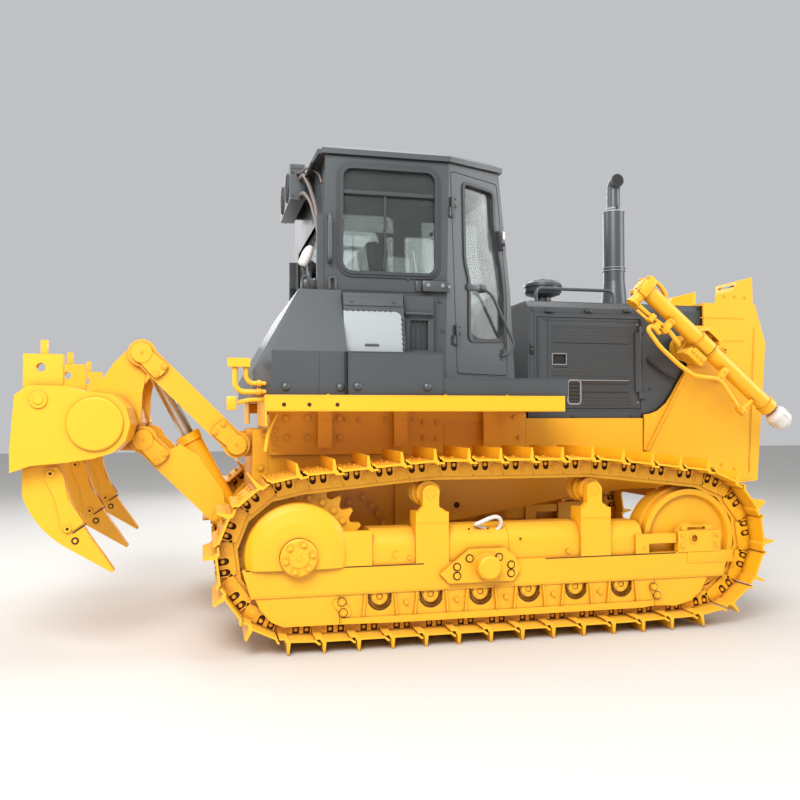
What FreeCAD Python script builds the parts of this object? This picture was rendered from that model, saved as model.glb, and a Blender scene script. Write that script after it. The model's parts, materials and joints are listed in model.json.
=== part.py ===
import FreeCAD, Part
import math
import os

# Crawler bulldozer with a three-shank parallelogram ripper and no blade, in millimetres.
# X points forward, Y to the machine's left and Z up. The ground is Z 0 at the grousers' tips,
# and Y 0 is the plane of symmetry. Pieces are modelled on the right side, where Y is negative,
# and mirrored to the left.

V = FreeCAD.Vector
os.makedirs("parts", exist_ok=True)

# Track chain
PITCH = 216.0
LINKS = 38
TRACK_Y = 1000.0
SHOE_WIDTH = 560.0
SHOE_PLATE = 14.0
GROUSER_HEIGHT = 71.0
GROUSER_THICKNESS = 22.0
RAIL_INSIDE = 62.0
RAIL_OUTSIDE = 64.0
RAIL_INNER_Y = 70.0
RAIL_OUTER_Y = 120.0
SHOE_BITE = 2.0
FIRST_PIN_AHEAD = 46.0

# Wheels that the chain runs on
SPROCKET_X = -1060.0
SPROCKET_Z = 585.0
SPROCKET_TEETH = 25
SPROCKET_HALF_WIDTH = 30.0
TOOTH_RISE = 20.0
BUSHING_R = 34.0
IDLER_Z = 590.0
IDLER_R = 350.0
ROLLER_R = 95.0
ROLLER_FLANGE_R = 118.0
ROLLER_REAR_X = -539.0
ROLLER_SPACING = 337.6
ROLLER_COUNT = 6
ROLLER_ROOM = 2.0
CARRIER_R = 78.0
CARRIER_FLANGE_R = 96.0
CARRIER_XS = (-201.0, 950.0)
CARRIER_RAIL_Z = 1039.0
CARRIER_ROOM = 6.0

# Track frame, measured from the track's own middle plane
WEB_OUTER = 180.0
WEB_INNER = 135.0
BEAM_Z0 = 331.0
BEAM_Z1 = 510.0
DECK = 30.0
BEAM_REAR_X = -1402.0
BEAM_FRONT_X = 1973.0
COVER_TOP_Z = 735.0
COVER_SHOULDER_Z = 610.0
COVER_HALF = 165.0
DOME_R = 330.0
CAP_R = 116.0
CAP_Y = 1250.0
GUARD_OFFSET = 160.0
GUARD_THICKNESS = 14.0
GUARD_BOTTOM_Z = 140.0
PIVOT_X = -560.0
PIVOT_Z = 480.0
PIVOT_R = 70.0
BALANCE_X0 = 560.0
BALANCE_X1 = 700.0
BALANCE_TOP_Z = 740.0
TRUNNION_X = 164.0
TRUNNION_Z = 478.0
TRUNNION_R = 78.0
TRUNNION_WALL = 72.0
TRUNNION_END = 14.0

# Hull
SEAT_GAP = 0.3
HULL_HALF = 560.0
CASE_X0 = -1195.0
CASE_X1 = -300.0
CASE_Z0 = 470.0
CASE_Z1 = 1470.0
RAIL_HALF = 579.7
FRAME_TOP_Z = 1190.0
ENGINE_Z0 = 940.0
ENGINE_Z1 = 1980.0

# Fenders and what stands on them
FENDER_TOP_Z = 1585.0
FENDER_SKIRT_Z = 1486.0
RIB_XS = (-823.0, -283.0, 380.0)
FENDER_X0 = -1272.0
FENDER_X1 = 692.0
FENDER_HALF = 1280.0
FENDER_PLATE = 12.0
TANK_X0 = -1333.0
TANK_SIDE_X0 = -1227.0
TANK_TOP_X0 = -1032.0
TANK_X1 = -790.0
TANK_SIDE_X1 = -757.0
TANK_HALF = 1200.0
TANK_CORNER_HALF = 1060.0
TANK_TOP_HALF = 965.0
TANK_BACK_Z = 1755.0
TANK_TOP_Z = 2290.0
BOX_X0 = -753.0
BOX_X1 = -126.0
BOX_HALF = 1230.0
HIGH_BOX_X1 = -352.0
HIGH_BOX_TOP_Z = 2262.0
BOX_TOP_Z = 1866.0
FLOOR_TOP_Z = 1705.0
PLATFORM_X0 = -786.0
PLATFORM_X1 = 737.0

# Cab
CAB_Z0 = FLOOR_TOP_Z + SEAT_GAP
CAB_Z1 = 3200.0
CAB_REAR_X = -784.0
CAB_UPPER_REAR_X = -855.0
CAB_STEP_Z = 2296.0
CAB_HALF = 925.0
CAB_WALL = 50.0
CAB_FLOOR = 40.0
CAB_CORNER_X = -25.0
CAB_CORNER_LEAN = -0.0187
CAB_FRONT_X = 575.0
CAB_FRONT_LEAN = 0.066
CAB_BEND_Z = 2345.0
CAB_UPPER_LEAN = 0.126
CAB_FRONT_HALF = 675.0
ROOF_Z1 = 3275.0

# Hood, nose and exhaust
HOOD_HALF = 560.0
HOOD_X0 = 725.0
HOOD_Z0 = 1441.0
HOOD_TOP_Z = 2325.0
HOOD_SHEET = 20.0
HOOD_DOOR_X0 = 800.0
HOOD_DOOR_X1 = 1650.0
HOOD_DOOR_Z0 = 1515.0
HOOD_DOOR_Z1 = 2200.0
DOOR_GAP = 5.0
HINGE_R = 11.0
HOOD_HINGE_X = 1642.0
HOOD_HINGE_Y = 571.5
HOOD_LUGS = ((1590.0, 1640.0), (2100.0, 2150.0))
NOSE_HALF = 600.0
NOSE_SHEET = 20.0
STACK_X = 1729.0
STACK_R = 88.0
TAIL_PIPE_R = 54.0
STACK_TOP_Z = 3427.0

# Blade lift cylinders, with the trunnion at X and Z and the barrel leaning down to the front
LIFT_X = 1974.0
LIFT_Z = 1983.0
LIFT_Y = 900.0
LIFT_ANGLE = 40.1
LIFT_BARREL_R = 60.0
LIFT_BARREL_BACK = 664.0
LIFT_BARREL_FRONT = 735.0
LIFT_ROD_R = 32.0
LIFT_EYE = 836.0
LIFT_ROD_BACK = 600.0
PIN_FIT = 0.5

# Ripper linkage: lower and upper pins on the bracket, and the arm's reach from one to the beam
RIP_LOWER = (-1402.0, 675.0)
RIP_UPPER = (-1411.0, 1261.0)
RIP_REACH = (-627.0, 624.0)
LINK_Y0 = 420.0
LINK_Y1 = 540.0
LINK_PLATE = 32.0
LINK_HALF_DEPTH = 76.0
LINK_END_R = 92.0
LINK_PIN_R = 45.0
EAR_Y0 = 455.0
EAR_Y1 = 505.0
SIDE_ROOM = 3.0
RIP_CYL_Y = 330.0
RIP_BARREL_R = 75.0
RIP_BARREL_LENGTH = 740.0
RIP_ROD_R = 40.0
RIP_ROD_LENGTH = 745.0
BEAM_HALF = 1150.0
SHANK_YS = (-1005.0, 0.0, 1005.0)
SHANK_HALF = 38.0
SHANK_X0 = -2682.0
SHANK_X1 = -2460.0


def box(x0, x1, y0, y1, z0, z1):
    return Part.makeBox(x1 - x0, y1 - y0, z1 - z0, V(x0, y0, z0))


def prism(points, travel):
    """Solid from a closed outline of 3-D points, pushed along a vector."""
    wire = Part.makePolygon(points + [points[0]])
    return Part.Face(wire).extrude(travel)


def side_plate(outline, y0, y1):
    """Solid whose outline is given as (x, z) pairs."""
    return prism([V(x, y0, z) for x, z in outline], V(0, y1 - y0, 0))


def cross_plate(outline, x0, x1):
    """Solid whose outline is given as (y, z) pairs."""
    return prism([V(x0, y, z) for y, z in outline], V(x1 - x0, 0, 0))


def flat_plate(outline, z0, z1):
    """Solid whose outline is given as (x, y) pairs."""
    return prism([V(x, y, z0) for x, y in outline], V(0, 0, z1 - z0))


def bar(start, end, radius):
    """Round bar between two 3-D points."""
    start, end = V(*start), V(*end)
    return Part.makeCylinder(radius, (end - start).Length, start, end - start)


def disc(x, z, radius, y0, y1):
    """Round solid along Y."""
    return Part.makeCylinder(radius, y1 - y0, V(x, y0, z), V(0, 1, 0))


def turned(profile, x, z, y):
    """Body of revolution about a line along Y, from (offset, radius) pairs; y is its middle."""
    loop = [V(x, y + offset, z + radius) for offset, radius in profile]
    face = Part.Face(Part.makePolygon(loop + [loop[0]]))
    return face.revolve(V(x, y, z), V(0, 1, 0), 360)


def spun(profile, x, y):
    """Body of revolution about a vertical line, from (radius, z) pairs."""
    loop = [V(x + radius, y, z) for radius, z in profile]
    face = Part.Face(Part.makePolygon(loop + [loop[0]]))
    return face.revolve(V(x, y, 0), V(0, 0, 1), 360)


def rounded_wire(points, radius):
    """Closed wire through the points with each corner rounded to one radius."""
    edges = []
    count = len(points)
    corners = []
    for k, corner in enumerate(points):
        back = (points[k - 1] - corner).normalize()
        ahead = (points[(k + 1) % count] - corner).normalize()
        half = back.getAngle(ahead) / 2
        reach = radius / math.tan(half)
        middle = (back + ahead).normalize()
        centre = corner + middle * (radius / math.sin(half))
        corners.append((corner + back * reach, centre - middle * radius, corner + ahead * reach))
    for k, (start, mid, end) in enumerate(corners):
        edges.append(Part.LineSegment(corners[k - 1][2], start).toShape())
        edges.append(Part.Arc(start, mid, end).toShape())
    return Part.Wire(edges)


def rounded_prism(points, radius, travel):
    return Part.Face(rounded_wire(points, radius)).extrude(travel)


def pipe(points, radius, bend):
    """Round pipe through 3-D points, with a tangent arc of one bend radius at each turn."""
    points = [V(*p) for p in points]
    edges = []
    last = points[0]
    for k in range(1, len(points) - 1):
        back = (points[k - 1] - points[k]).normalize()
        ahead = (points[k + 1] - points[k]).normalize()
        half = back.getAngle(ahead) / 2
        reach = bend / math.tan(half)
        middle = (back + ahead).normalize()
        arc_mid = points[k] + middle * (bend / math.sin(half) - bend)
        edges.append(Part.LineSegment(last, points[k] + back * reach).toShape())
        last = points[k] + ahead * reach
        edges.append(Part.Arc(points[k] + back * reach, arc_mid, last).toShape())
    edges.append(Part.LineSegment(last, points[-1]).toShape())
    ring = Part.Wire(Part.makeCircle(radius, points[0], points[1] - points[0]))
    return Part.Wire(edges).makePipeShell([ring], True, True)


def fused(shapes):
    if len(shapes) == 1:
        return shapes[0]
    return shapes[0].multiFuse(shapes[1:]).removeSplitter()


def mirrored(shape):
    return shape.mirror(V(0, 0, 0), V(0, 1, 0))


def pair(shape):
    """The shape and its mirror image, as solids that don't touch."""
    return Part.makeCompound([shape, mirrored(shape)])


def save(node, shape):
    shape.exportStep("parts/" + node + ".step")


# Chain path round the wheels, all in the side view as (x, z)

ROLLER_Z = GROUSER_HEIGHT + SHOE_PLATE + RAIL_OUTSIDE + RAIL_INSIDE + ROLLER_ROOM + ROLLER_R
PIN_GROUND_Z = GROUSER_HEIGHT + SHOE_PLATE + RAIL_OUTSIDE
CARRIER_Z = CARRIER_RAIL_Z - CARRIER_ROOM - CARRIER_R
SPROCKET_R = PITCH / (2 * math.sin(2 * math.pi / SPROCKET_TEETH))
ROLLER_FRONT_X = ROLLER_REAR_X + ROLLER_SPACING * (ROLLER_COUNT - 1)


def chain_path(idler_x):
    """Runs and arcs of the pin line, counter-clockwise from under the rear roller."""
    roller = RAIL_INSIDE + ROLLER_ROOM + ROLLER_R
    carrier = RAIL_INSIDE + CARRIER_ROOM + CARRIER_R
    idler = math.hypot(RAIL_INSIDE + IDLER_R, PITCH / 2)
    wheels = [(ROLLER_REAR_X, ROLLER_Z, roller), (ROLLER_FRONT_X, ROLLER_Z, roller),
              (idler_x, IDLER_Z, idler), (CARRIER_XS[1], CARRIER_Z, carrier),
              (CARRIER_XS[0], CARRIER_Z, carrier), (SPROCKET_X, SPROCKET_Z, SPROCKET_R)]
    count = len(wheels)
    normals = []
    for k, (x, z, r) in enumerate(wheels):
        nx, nz, nr = wheels[(k + 1) % count]
        away = math.atan2(nz - z, nx - x)
        normals.append(away - math.acos((r - nr) / math.hypot(nx - x, nz - z)))
    path = []
    for k in range(count):
        x, z, r = wheels[k]
        nx, nz, nr = wheels[(k + 1) % count]
        turn = normals[k]
        start = (x + r * math.cos(turn), z + r * math.sin(turn))
        end = (nx + nr * math.cos(turn), nz + nr * math.sin(turn))
        path.append(("run", math.dist(start, end), start, end))
        sweep = (normals[(k + 1) % count] - turn) % (2 * math.pi)
        path.append(("arc", nr * sweep, (nx, nz, nr), turn))
    return path


def path_length(path):
    return sum(step[1] for step in path)


def path_point(path, travel):
    travel = travel % path_length(path)
    for kind, length, first, second in path:
        if travel <= length:
            break
        travel -= length
    if kind == "run":
        share = travel / length
        return (first[0] + (second[0] - first[0]) * share, first[1] + (second[1] - first[1]) * share)
    x, z, r = first
    angle = second + travel / r
    return (x + r * math.cos(angle), z + r * math.sin(angle))


def chain_travels(path):
    """Travel of each pin when links of one pitch are laid along the path."""
    travels = [FIRST_PIN_AHEAD]
    for _ in range(LINKS):
        here = path_point(path, travels[-1])
        low, high = travels[-1] + 0.9 * PITCH, travels[-1] + 1.2 * PITCH
        for _ in range(36):
            middle = (low + high) / 2
            if math.dist(here, path_point(path, middle)) < PITCH:
                low = middle
            else:
                high = middle
        travels.append(low)
    return travels


def tensioned_idler_x():
    """Idler place at which the links just close the loop."""
    low, high = ROLLER_FRONT_X + 200, ROLLER_FRONT_X + 1500
    for _ in range(30):
        middle = (low + high) / 2
        path = chain_path(middle)
        travels = chain_travels(path)
        if travels[-1] - travels[0] > path_length(path):
            low = middle
        else:
            high = middle
    return low


IDLER_X = tensioned_idler_x()
CHAIN = chain_path(IDLER_X)
PINS = [path_point(CHAIN, travel) for travel in chain_travels(CHAIN)[:-1]]


def link_frame(k):
    """First pin, direction and outward normal of one link."""
    x, z = PINS[k]
    nx, nz = PINS[(k + 1) % LINKS]
    along = ((nx - x) / PITCH, (nz - z) / PITCH)
    return (x, z), along, (along[1], -along[0])


def chain_offset(depth):
    """Corner points of the chain's outline at a depth outside the pin line."""
    corners = []
    for k in range(LINKS):
        before = link_frame(k - 1)[2]
        start, _, after = link_frame(k)
        bx, bz = before[0] + after[0], before[1] + after[1]
        size = math.hypot(bx, bz)
        reach = depth * 2 / size
        corners.append((start[0] + bx / size * reach, start[1] + bz / size * reach))
    return corners


def shoe(k):
    """One shoe: plate, grouser at its first end and lip that laps the next plate."""
    seat = RAIL_OUTSIDE
    face = seat + SHOE_PLATE
    tip = face + GROUSER_HEIGHT
    base = 4.0
    profile = [(-42, seat - 16), (8, seat - 16), (24, seat), (PITCH - 32, seat), (PITCH - 12, face + 5),
               (PITCH - 4, face + 5), (PITCH - 4, face + 18), (PITCH - 16, face + 18), (PITCH - 38, face),
               (base + GROUSER_THICKNESS + 4, face), (base + GROUSER_THICKNESS - 3, tip), (base + 6, tip),
               (base, face), (-2, face), (-8, seat - 3), (-36, seat - 3), (-42, seat - 9)]
    start, along, out = link_frame(k)
    outline = [(start[0] + along[0] * s + out[0] * n, start[1] + along[1] * s + out[1] * n)
               for s, n in profile]
    return side_plate(outline, -TRACK_Y - SHOE_WIDTH / 2, -TRACK_Y + SHOE_WIDTH / 2)


def track():
    outer = chain_offset(RAIL_OUTSIDE + SHOE_BITE)
    inner = chain_offset(-RAIL_INSIDE)
    pieces = []
    for y0, y1 in ((-RAIL_OUTER_Y, -RAIL_INNER_Y), (RAIL_INNER_Y, RAIL_OUTER_Y)):
        ring = side_plate(outer, -TRACK_Y + y0, -TRACK_Y + y1)
        pieces.append(ring.cut(side_plate(inner, -TRACK_Y + y0 - 1, -TRACK_Y + y1 + 1)))
    pieces += [shoe(k) for k in range(LINKS)]
    return fused(pieces)


def sprocket():
    """Toothed rim that meshes with the bushings, on a drum flange."""
    seated = [p for p in PINS if abs(math.dist(p, (SPROCKET_X, SPROCKET_Z)) - SPROCKET_R) < 0.5]
    phase = math.atan2(seated[0][1] - SPROCKET_Z, seated[0][0] - SPROCKET_X)
    step = 2 * math.pi / SPROCKET_TEETH
    root = SPROCKET_R - BUSHING_R - 1
    tip = SPROCKET_R + TOOTH_RISE
    # columns: share of a tooth step, radius
    flank = ((0.0, root), (0.17, root + 6), (0.30, SPROCKET_R - 6), (0.41, tip), (0.59, tip),
             (0.70, SPROCKET_R - 6), (0.83, root + 6))
    outline = []
    for tooth in range(SPROCKET_TEETH):
        for share, radius in flank:
            angle = phase + (tooth + share) * step
            outline.append((SPROCKET_X + radius * math.cos(angle), SPROCKET_Z + radius * math.sin(angle)))
    rim = side_plate(outline, -TRACK_Y - SPROCKET_HALF_WIDTH, -TRACK_Y + SPROCKET_HALF_WIDTH)
    rim = rim.cut(disc(SPROCKET_X, SPROCKET_Z, 300, -TRACK_Y - 100, -TRACK_Y + 100))
    web = turned([(-24, 240.3), (24, 240.3), (24, 302), (-24, 302)], SPROCKET_X, SPROCKET_Z, -TRACK_Y)
    return fused([rim, web])


def final_drive():
    """Case between hull and sprocket, with the hub that comes out through the frame's dome."""
    profile = [(TRACK_Y - HULL_HALF - SEAT_GAP, 0), (TRACK_Y - HULL_HALF - SEAT_GAP, 400), (300, 400),
               (300, 330), (270, 300), (60, 300), (60, 240), (-110, 240), (-120, 230), (-120, CAP_R),
               (-CAP_Y + TRACK_Y + 8, CAP_R), (-CAP_Y + TRACK_Y, CAP_R - 10), (-CAP_Y + TRACK_Y, 0)]
    return turned(profile, SPROCKET_X, SPROCKET_Z, -TRACK_Y)


def roller(x, z, flanged):
    """Track or carrier roller with its shaft."""
    if flanged:
        profile = [(-150, 0), (-150, 22), (-132, 22), (-132, ROLLER_FLANGE_R), (-123, ROLLER_FLANGE_R),
                   (-121, ROLLER_R), (-62, ROLLER_R), (-60, ROLLER_FLANGE_R), (-46, ROLLER_FLANGE_R),
                   (-40, 78), (40, 78), (46, ROLLER_FLANGE_R), (60, ROLLER_FLANGE_R), (62, ROLLER_R),
                   (121, ROLLER_R), (123, ROLLER_FLANGE_R), (132, ROLLER_FLANGE_R), (132, 22), (150, 22),
                   (150, 0)]
    else:
        profile = [(-118.7, 0), (-118.7, 30), (-112, 66), (-112, CARRIER_R), (-60, CARRIER_R),
                   (-60, CARRIER_FLANGE_R), (-40, CARRIER_FLANGE_R), (-34, 66), (34, 66),
                   (40, CARRIER_FLANGE_R), (60, CARRIER_FLANGE_R), (60, CARRIER_R), (112, CARRIER_R),
                   (112, 66), (118.7, 30), (118.7, 0)]
    return turned(profile, x, z, -TRACK_Y)


def roller_collars(x):
    """The two bearing collars that hang a roller's shaft under the frame."""
    collars = []
    for side in (-1, 1):
        y0, y1 = sorted((-TRACK_Y + side * 134, -TRACK_Y + side * 158))
        ring = disc(x, ROLLER_Z, 56, y0, y1)
        hanger = box(x - 62, x + 62, y0, y1, ROLLER_Z, BEAM_Z0 - SEAT_GAP)
        trimmed = fused([ring, hanger])
        trimmed = trimmed.common(box(x - 70, x + 70, y0, y1, 0, BEAM_Z0 - SEAT_GAP))
        collars.append(trimmed)
    return collars


def rollers():
    solids = []
    for k in range(ROLLER_COUNT):
        x = ROLLER_REAR_X + k * ROLLER_SPACING
        solids.append(fused([roller(x, ROLLER_Z, True)] + roller_collars(x)))
    for x in CARRIER_XS:
        solids.append(roller(x, CARRIER_Z, False))
    return solids


def idler():
    """Dished idler wheel with its shaft and the two sliding bearing blocks."""
    half_tread = RAIL_OUTER_Y
    profile = [(-150, 0), (-150, 46), (-112, 46), (-112, 96), (-90, 110), (-84, 300), (-half_tread, 312),
               (-half_tread, IDLER_R), (-62, IDLER_R), (-58, IDLER_R + 22), (58, IDLER_R + 22),
               (62, IDLER_R), (half_tread, IDLER_R), (half_tread, 312), (84, 300), (90, 110), (112, 96),
               (112, 46), (150, 46), (150, 0)]
    wheel = turned(profile, IDLER_X, IDLER_Z, -TRACK_Y)
    pieces = [wheel]
    for side in (-1, 1):
        y0, y1 = sorted((-TRACK_Y + side * 136, -TRACK_Y + side * 188))
        block = box(IDLER_X - 126, IDLER_X + 206, y0, y1, BEAM_Z1 + SEAT_GAP, 656)
        lug = box(IDLER_X - 90, IDLER_X + 150, y0 + 8, y1 - 8, 656, 690)
        slot = box(IDLER_X - 50, IDLER_X + 90, y0, y1, 662, 682)
        bore = disc(IDLER_X, IDLER_Z + 12, 24, -TRACK_Y - 190, -TRACK_Y - 170)
        pieces.append(fused([block, lug]).cut(slot).cut(bore))
    return fused(pieces)


def spring_cover(x0, x1, top_z, half):
    """Round-shouldered cover over the recoil spring."""
    y = -TRACK_Y
    edges = [Part.LineSegment(V(x0, y - half, BEAM_Z1), V(x0, y - half, COVER_SHOULDER_Z)).toShape(),
             Part.Arc(V(x0, y - half, COVER_SHOULDER_Z), V(x0, y - half * 0.78, top_z - 35),
                      V(x0, y - half * 0.4, top_z)).toShape(),
             Part.LineSegment(V(x0, y - half * 0.4, top_z), V(x0, y + half * 0.4, top_z)).toShape(),
             Part.Arc(V(x0, y + half * 0.4, top_z), V(x0, y + half * 0.78, top_z - 35),
                      V(x0, y + half, COVER_SHOULDER_Z)).toShape(),
             Part.LineSegment(V(x0, y + half, COVER_SHOULDER_Z), V(x0, y + half, BEAM_Z1)).toShape(),
             Part.LineSegment(V(x0, y + half, BEAM_Z1), V(x0, y - half, BEAM_Z1)).toShape()]
    return Part.Face(Part.Wire(edges)).extrude(V(x1 - x0, 0, 0))


def dome():
    """Bulged sprocket guard, open where the final drive's cap comes through."""
    y = -TRACK_Y
    profile = [(-WEB_INNER - 1, DOME_R), (-168, DOME_R - 6), (-196, 286), (-212, 210), (-218, CAP_R + 3),
               (-204, CAP_R + 3), (-198, 204), (-184, 276), (-160, DOME_R - 18), (-WEB_INNER - 1, DOME_R - 16)]
    shell = turned(profile, SPROCKET_X, SPROCKET_Z, y)
    window = box(SPROCKET_X - 400, SPROCKET_X + 400, y - 300, y, BEAM_Z1 - 4, SPROCKET_Z + 400)
    return shell.common(window)


def carrier_bracket(x):
    """Block on the frame with an upright that holds the carrier roller's shaft."""
    y = -TRACK_Y
    block = box(x - 101, x + 119, y - WEB_OUTER, y - 20, BEAM_Z1 - 4, 835)
    upright = box(x - 54, x + 54, y - WEB_OUTER, y - 119, 800, CARRIER_Z + 20)
    top = disc(x, CARRIER_Z, 54, y - WEB_OUTER, y - 119)
    foot = side_plate([(x - 90, 835), (x + 100, 835), (x + 54, 870), (x - 54, 870)], y - WEB_OUTER, y - 130)
    return [block, upright, top, foot]


def track_frame():
    y = -TRACK_Y
    outline = [(BEAM_REAR_X, BEAM_Z1), (BEAM_REAR_X + 55, BEAM_Z0), (BEAM_FRONT_X - 40, BEAM_Z0),
               (BEAM_FRONT_X, BEAM_Z1)]
    outer_web = side_plate(outline, y - WEB_OUTER, y - WEB_INNER)
    inner_web = box(-730, BEAM_FRONT_X - 120, y + WEB_INNER, y + WEB_OUTER, BEAM_Z0, BEAM_Z1)
    deck_x0 = SPROCKET_X + SPROCKET_R + TOOTH_RISE + 16
    deck_x1 = IDLER_X - IDLER_R - 34
    deck = box(deck_x0, deck_x1, y - WEB_INNER - 1, y + WEB_INNER + 1, BEAM_Z1 - DECK, BEAM_Z1)
    rear_ledge = side_plate([(SPROCKET_X, BEAM_Z1 - 4), (deck_x0, BEAM_Z1 - 4), (deck_x0, COVER_TOP_Z - 7),
                             (SPROCKET_X + 210, COVER_TOP_Z - 7), (SPROCKET_X, COVER_TOP_Z - 80)],
                            y - WEB_OUTER, y - WEB_INNER)
    rear_x, front_x = CARRIER_XS
    middle_x = (rear_x + front_x) / 2 - 40
    # columns: rear end, front end, top, half width
    covers = [(deck_x0, rear_x - 100, COVER_TOP_Z - 7, COVER_HALF),
              (rear_x + 118, middle_x, COVER_TOP_Z, COVER_HALF),
              (middle_x + 4, front_x - 100, COVER_TOP_Z, COVER_HALF - 6),
              (front_x + 118, deck_x1, COVER_TOP_Z - 12, COVER_HALF - 6)]
    pivot = disc(PIVOT_X, PIVOT_Z, 112, y + WEB_INNER, y + WEB_OUTER)
    pieces = [outer_web, inner_web, pivot, deck, rear_ledge, dome()]
    pieces += [spring_cover(*row) for row in covers]
    for x in CARRIER_XS:
        pieces += carrier_bracket(x)
    for side in (-1, 1):
        y0, y1 = sorted((y + side * 140, y + side * 176))
        pieces.append(box(deck_x1 - 60, IDLER_X - 132, y0, y1, 575, 640))
        pieces.append(box(deck_x1 - 60, deck_x1 + 40, y0, y1, BEAM_Z1 - 4, 640))
    frame = fused(pieces)
    return frame.cut(disc(SPROCKET_X, SPROCKET_Z, CAP_R + 3, y - 300, y - 130))


def roller_guard(side):
    """Rock guards under one side of one frame; the rear plate is on its outer side only."""
    near = -TRACK_Y + side * GUARD_OFFSET
    y0, y1 = sorted((near, near + side * GUARD_THICKNESS))
    top = BEAM_Z0 - SEAT_GAP
    split0, split1 = -796.0, 1398.0
    rear = [(-1323, top), (-1290, 262), (-1225, 185), (-1150, 150), (split0 - 3, 147), (split0 - 3, top)]
    front = [(split1 + 3, top), (split1 + 3, 150), (1560, 140), (1680, 170), (1760, 235), (1811, top)]
    middle = side_plate([(split0, top), (split0, 147), (-420, GUARD_BOTTOM_Z), (1300, GUARD_BOTTOM_Z),
                         (split1, 150), (split1, top)], y0, y1)
    pieces = []
    for k in range(ROLLER_COUNT):
        x = ROLLER_REAR_X + k * ROLLER_SPACING
        middle = middle.cut(disc(x, ROLLER_Z - 6, 78, y0 - 1, y1 + 1))
        middle = middle.cut(box(x - 78, x + 78, y0 - 1, y1 + 1, ROLLER_Z - 6, top + 1))
        ry0, ry1 = sorted((near + side * (GUARD_THICKNESS - 1), near + side * (GUARD_THICKNESS + 16)))
        for lean in (-1, 1):
            foot = x + lean * 110
            head = x + lean * 96
            pieces.append(side_plate([(foot - 5, 190), (foot + 5, 190), (head + 5, top), (head - 5, top)],
                                     ry0, ry1))
    lip = sorted((near + side * (GUARD_THICKNESS - 1), near + side * (GUARD_THICKNESS + 10)))
    pieces.append(side_plate([(split0 + 10, 150), (-420, GUARD_BOTTOM_Z + 2), (1300, GUARD_BOTTOM_Z + 2),
                              (split1 - 10, 152), (split1 - 10, 186), (split0 + 10, 186)], *lip))
    solids = [fused([middle] + pieces), side_plate(front, y0, y1)]
    if side < 0:
        solids.append(side_plate(rear, y0, y1))
    return solids


def arm_trunnion():
    """Bolted plate with the round trunnion that the blade's push arm mounts on."""
    y = -TRACK_Y - WEB_OUTER - SEAT_GAP
    x, z = TRUNNION_X, TRUNNION_Z
    outline = [(x - 312, z - 40), (x - 250, z - 103), (x + 190, z - 103), (x + 237, z - 30), (x + 200, z + 60),
               (x + 130, z + 112), (x - 110, z + 112)]
    plate = side_plate(outline, y - 26, y)
    end = -TRUNNION_WALL - 2 * TRUNNION_END
    stub = turned([(0, 0), (0, TRUNNION_R + 12), (-TRUNNION_END, TRUNNION_R), (end + TRUNNION_END, TRUNNION_R),
                   (end, TRUNNION_R - TRUNNION_END), (end, 0)], x, z, y - 20)
    return fused([plate, stub])


def main_frame():
    """Rear case, side rails with rising lower edges, cross members and belly plates."""
    case = cross_plate([(-HULL_HALF, 640), (-HULL_HALF + 130, CASE_Z0), (HULL_HALF - 130, CASE_Z0),
                        (HULL_HALF, 640), (HULL_HALF, CASE_Z1), (-HULL_HALF, CASE_Z1)], CASE_X0, CASE_X1)
    outline = [(CASE_X1 - 1, 640), (483, 757), (1009, 844), (1500, 900), (2080, 900), (2080, FRAME_TOP_Z),
               (CASE_X1 - 1, FRAME_TOP_Z)]
    pieces = [case]
    for side in (-1, 1):
        y0, y1 = sorted((side * RAIL_HALF, side * (RAIL_HALF - 76)))
        pieces.append(side_plate(outline, y0, y1))
        y0, y1 = sorted((side * RAIL_HALF, side * (RAIL_HALF - 30)))
        pieces.append(box(CASE_X1 - 1, 700, y0, y1, FRAME_TOP_Z - 10, CASE_Z1))
    cross_half = RAIL_HALF - 40
    for x in (560, 2000):
        pieces.append(box(x, x + 80, -cross_half, cross_half, 880, FRAME_TOP_Z - 20))
    for x in (900, 1700):
        pieces.append(box(x, x + 90, -cross_half, cross_half, 840, ENGINE_Z0 - SEAT_GAP))
    pieces.append(box(BALANCE_X0 - 20, BALANCE_X1 + 20, -150, 150, BALANCE_TOP_Z + SEAT_GAP, 900))
    pieces.append(box(PIVOT_X - 120, PIVOT_X + 120, -HULL_HALF, HULL_HALF, PIVOT_Z - 110, 700))
    belly = [(CASE_X1 - 1, 648), (483, 765), (1009, 852), (1500, 908), (2080, 908), (2080, 924), (1500, 924),
             (1009, 868), (483, 781), (CASE_X1 - 1, 664)]
    pieces.append(side_plate(belly, -RAIL_HALF + 40, RAIL_HALF - 40))
    return fused(pieces)


def equalizer_bar():
    """Cross bar under the frame, from one track frame to the other."""
    reach = TRACK_Y - WEB_OUTER - SEAT_GAP
    beam = cross_plate([(-reach, 420), (reach, 420), (reach, 500), (300, 600), (90, 640), (-90, 640),
                        (-300, 600), (-reach, 500)], BALANCE_X0, BALANCE_X1)
    boss = box(BALANCE_X0 - 20, BALANCE_X1 + 20, -90, 90, 560, BALANCE_TOP_Z)
    return fused([beam, boss])


def pivot_shafts():
    """Shafts on which the rear ends of the track frames rock."""
    return disc(PIVOT_X, PIVOT_Z, PIVOT_R, -TRACK_Y + WEB_OUTER + SEAT_GAP, -HULL_HALF - SEAT_GAP)


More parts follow.
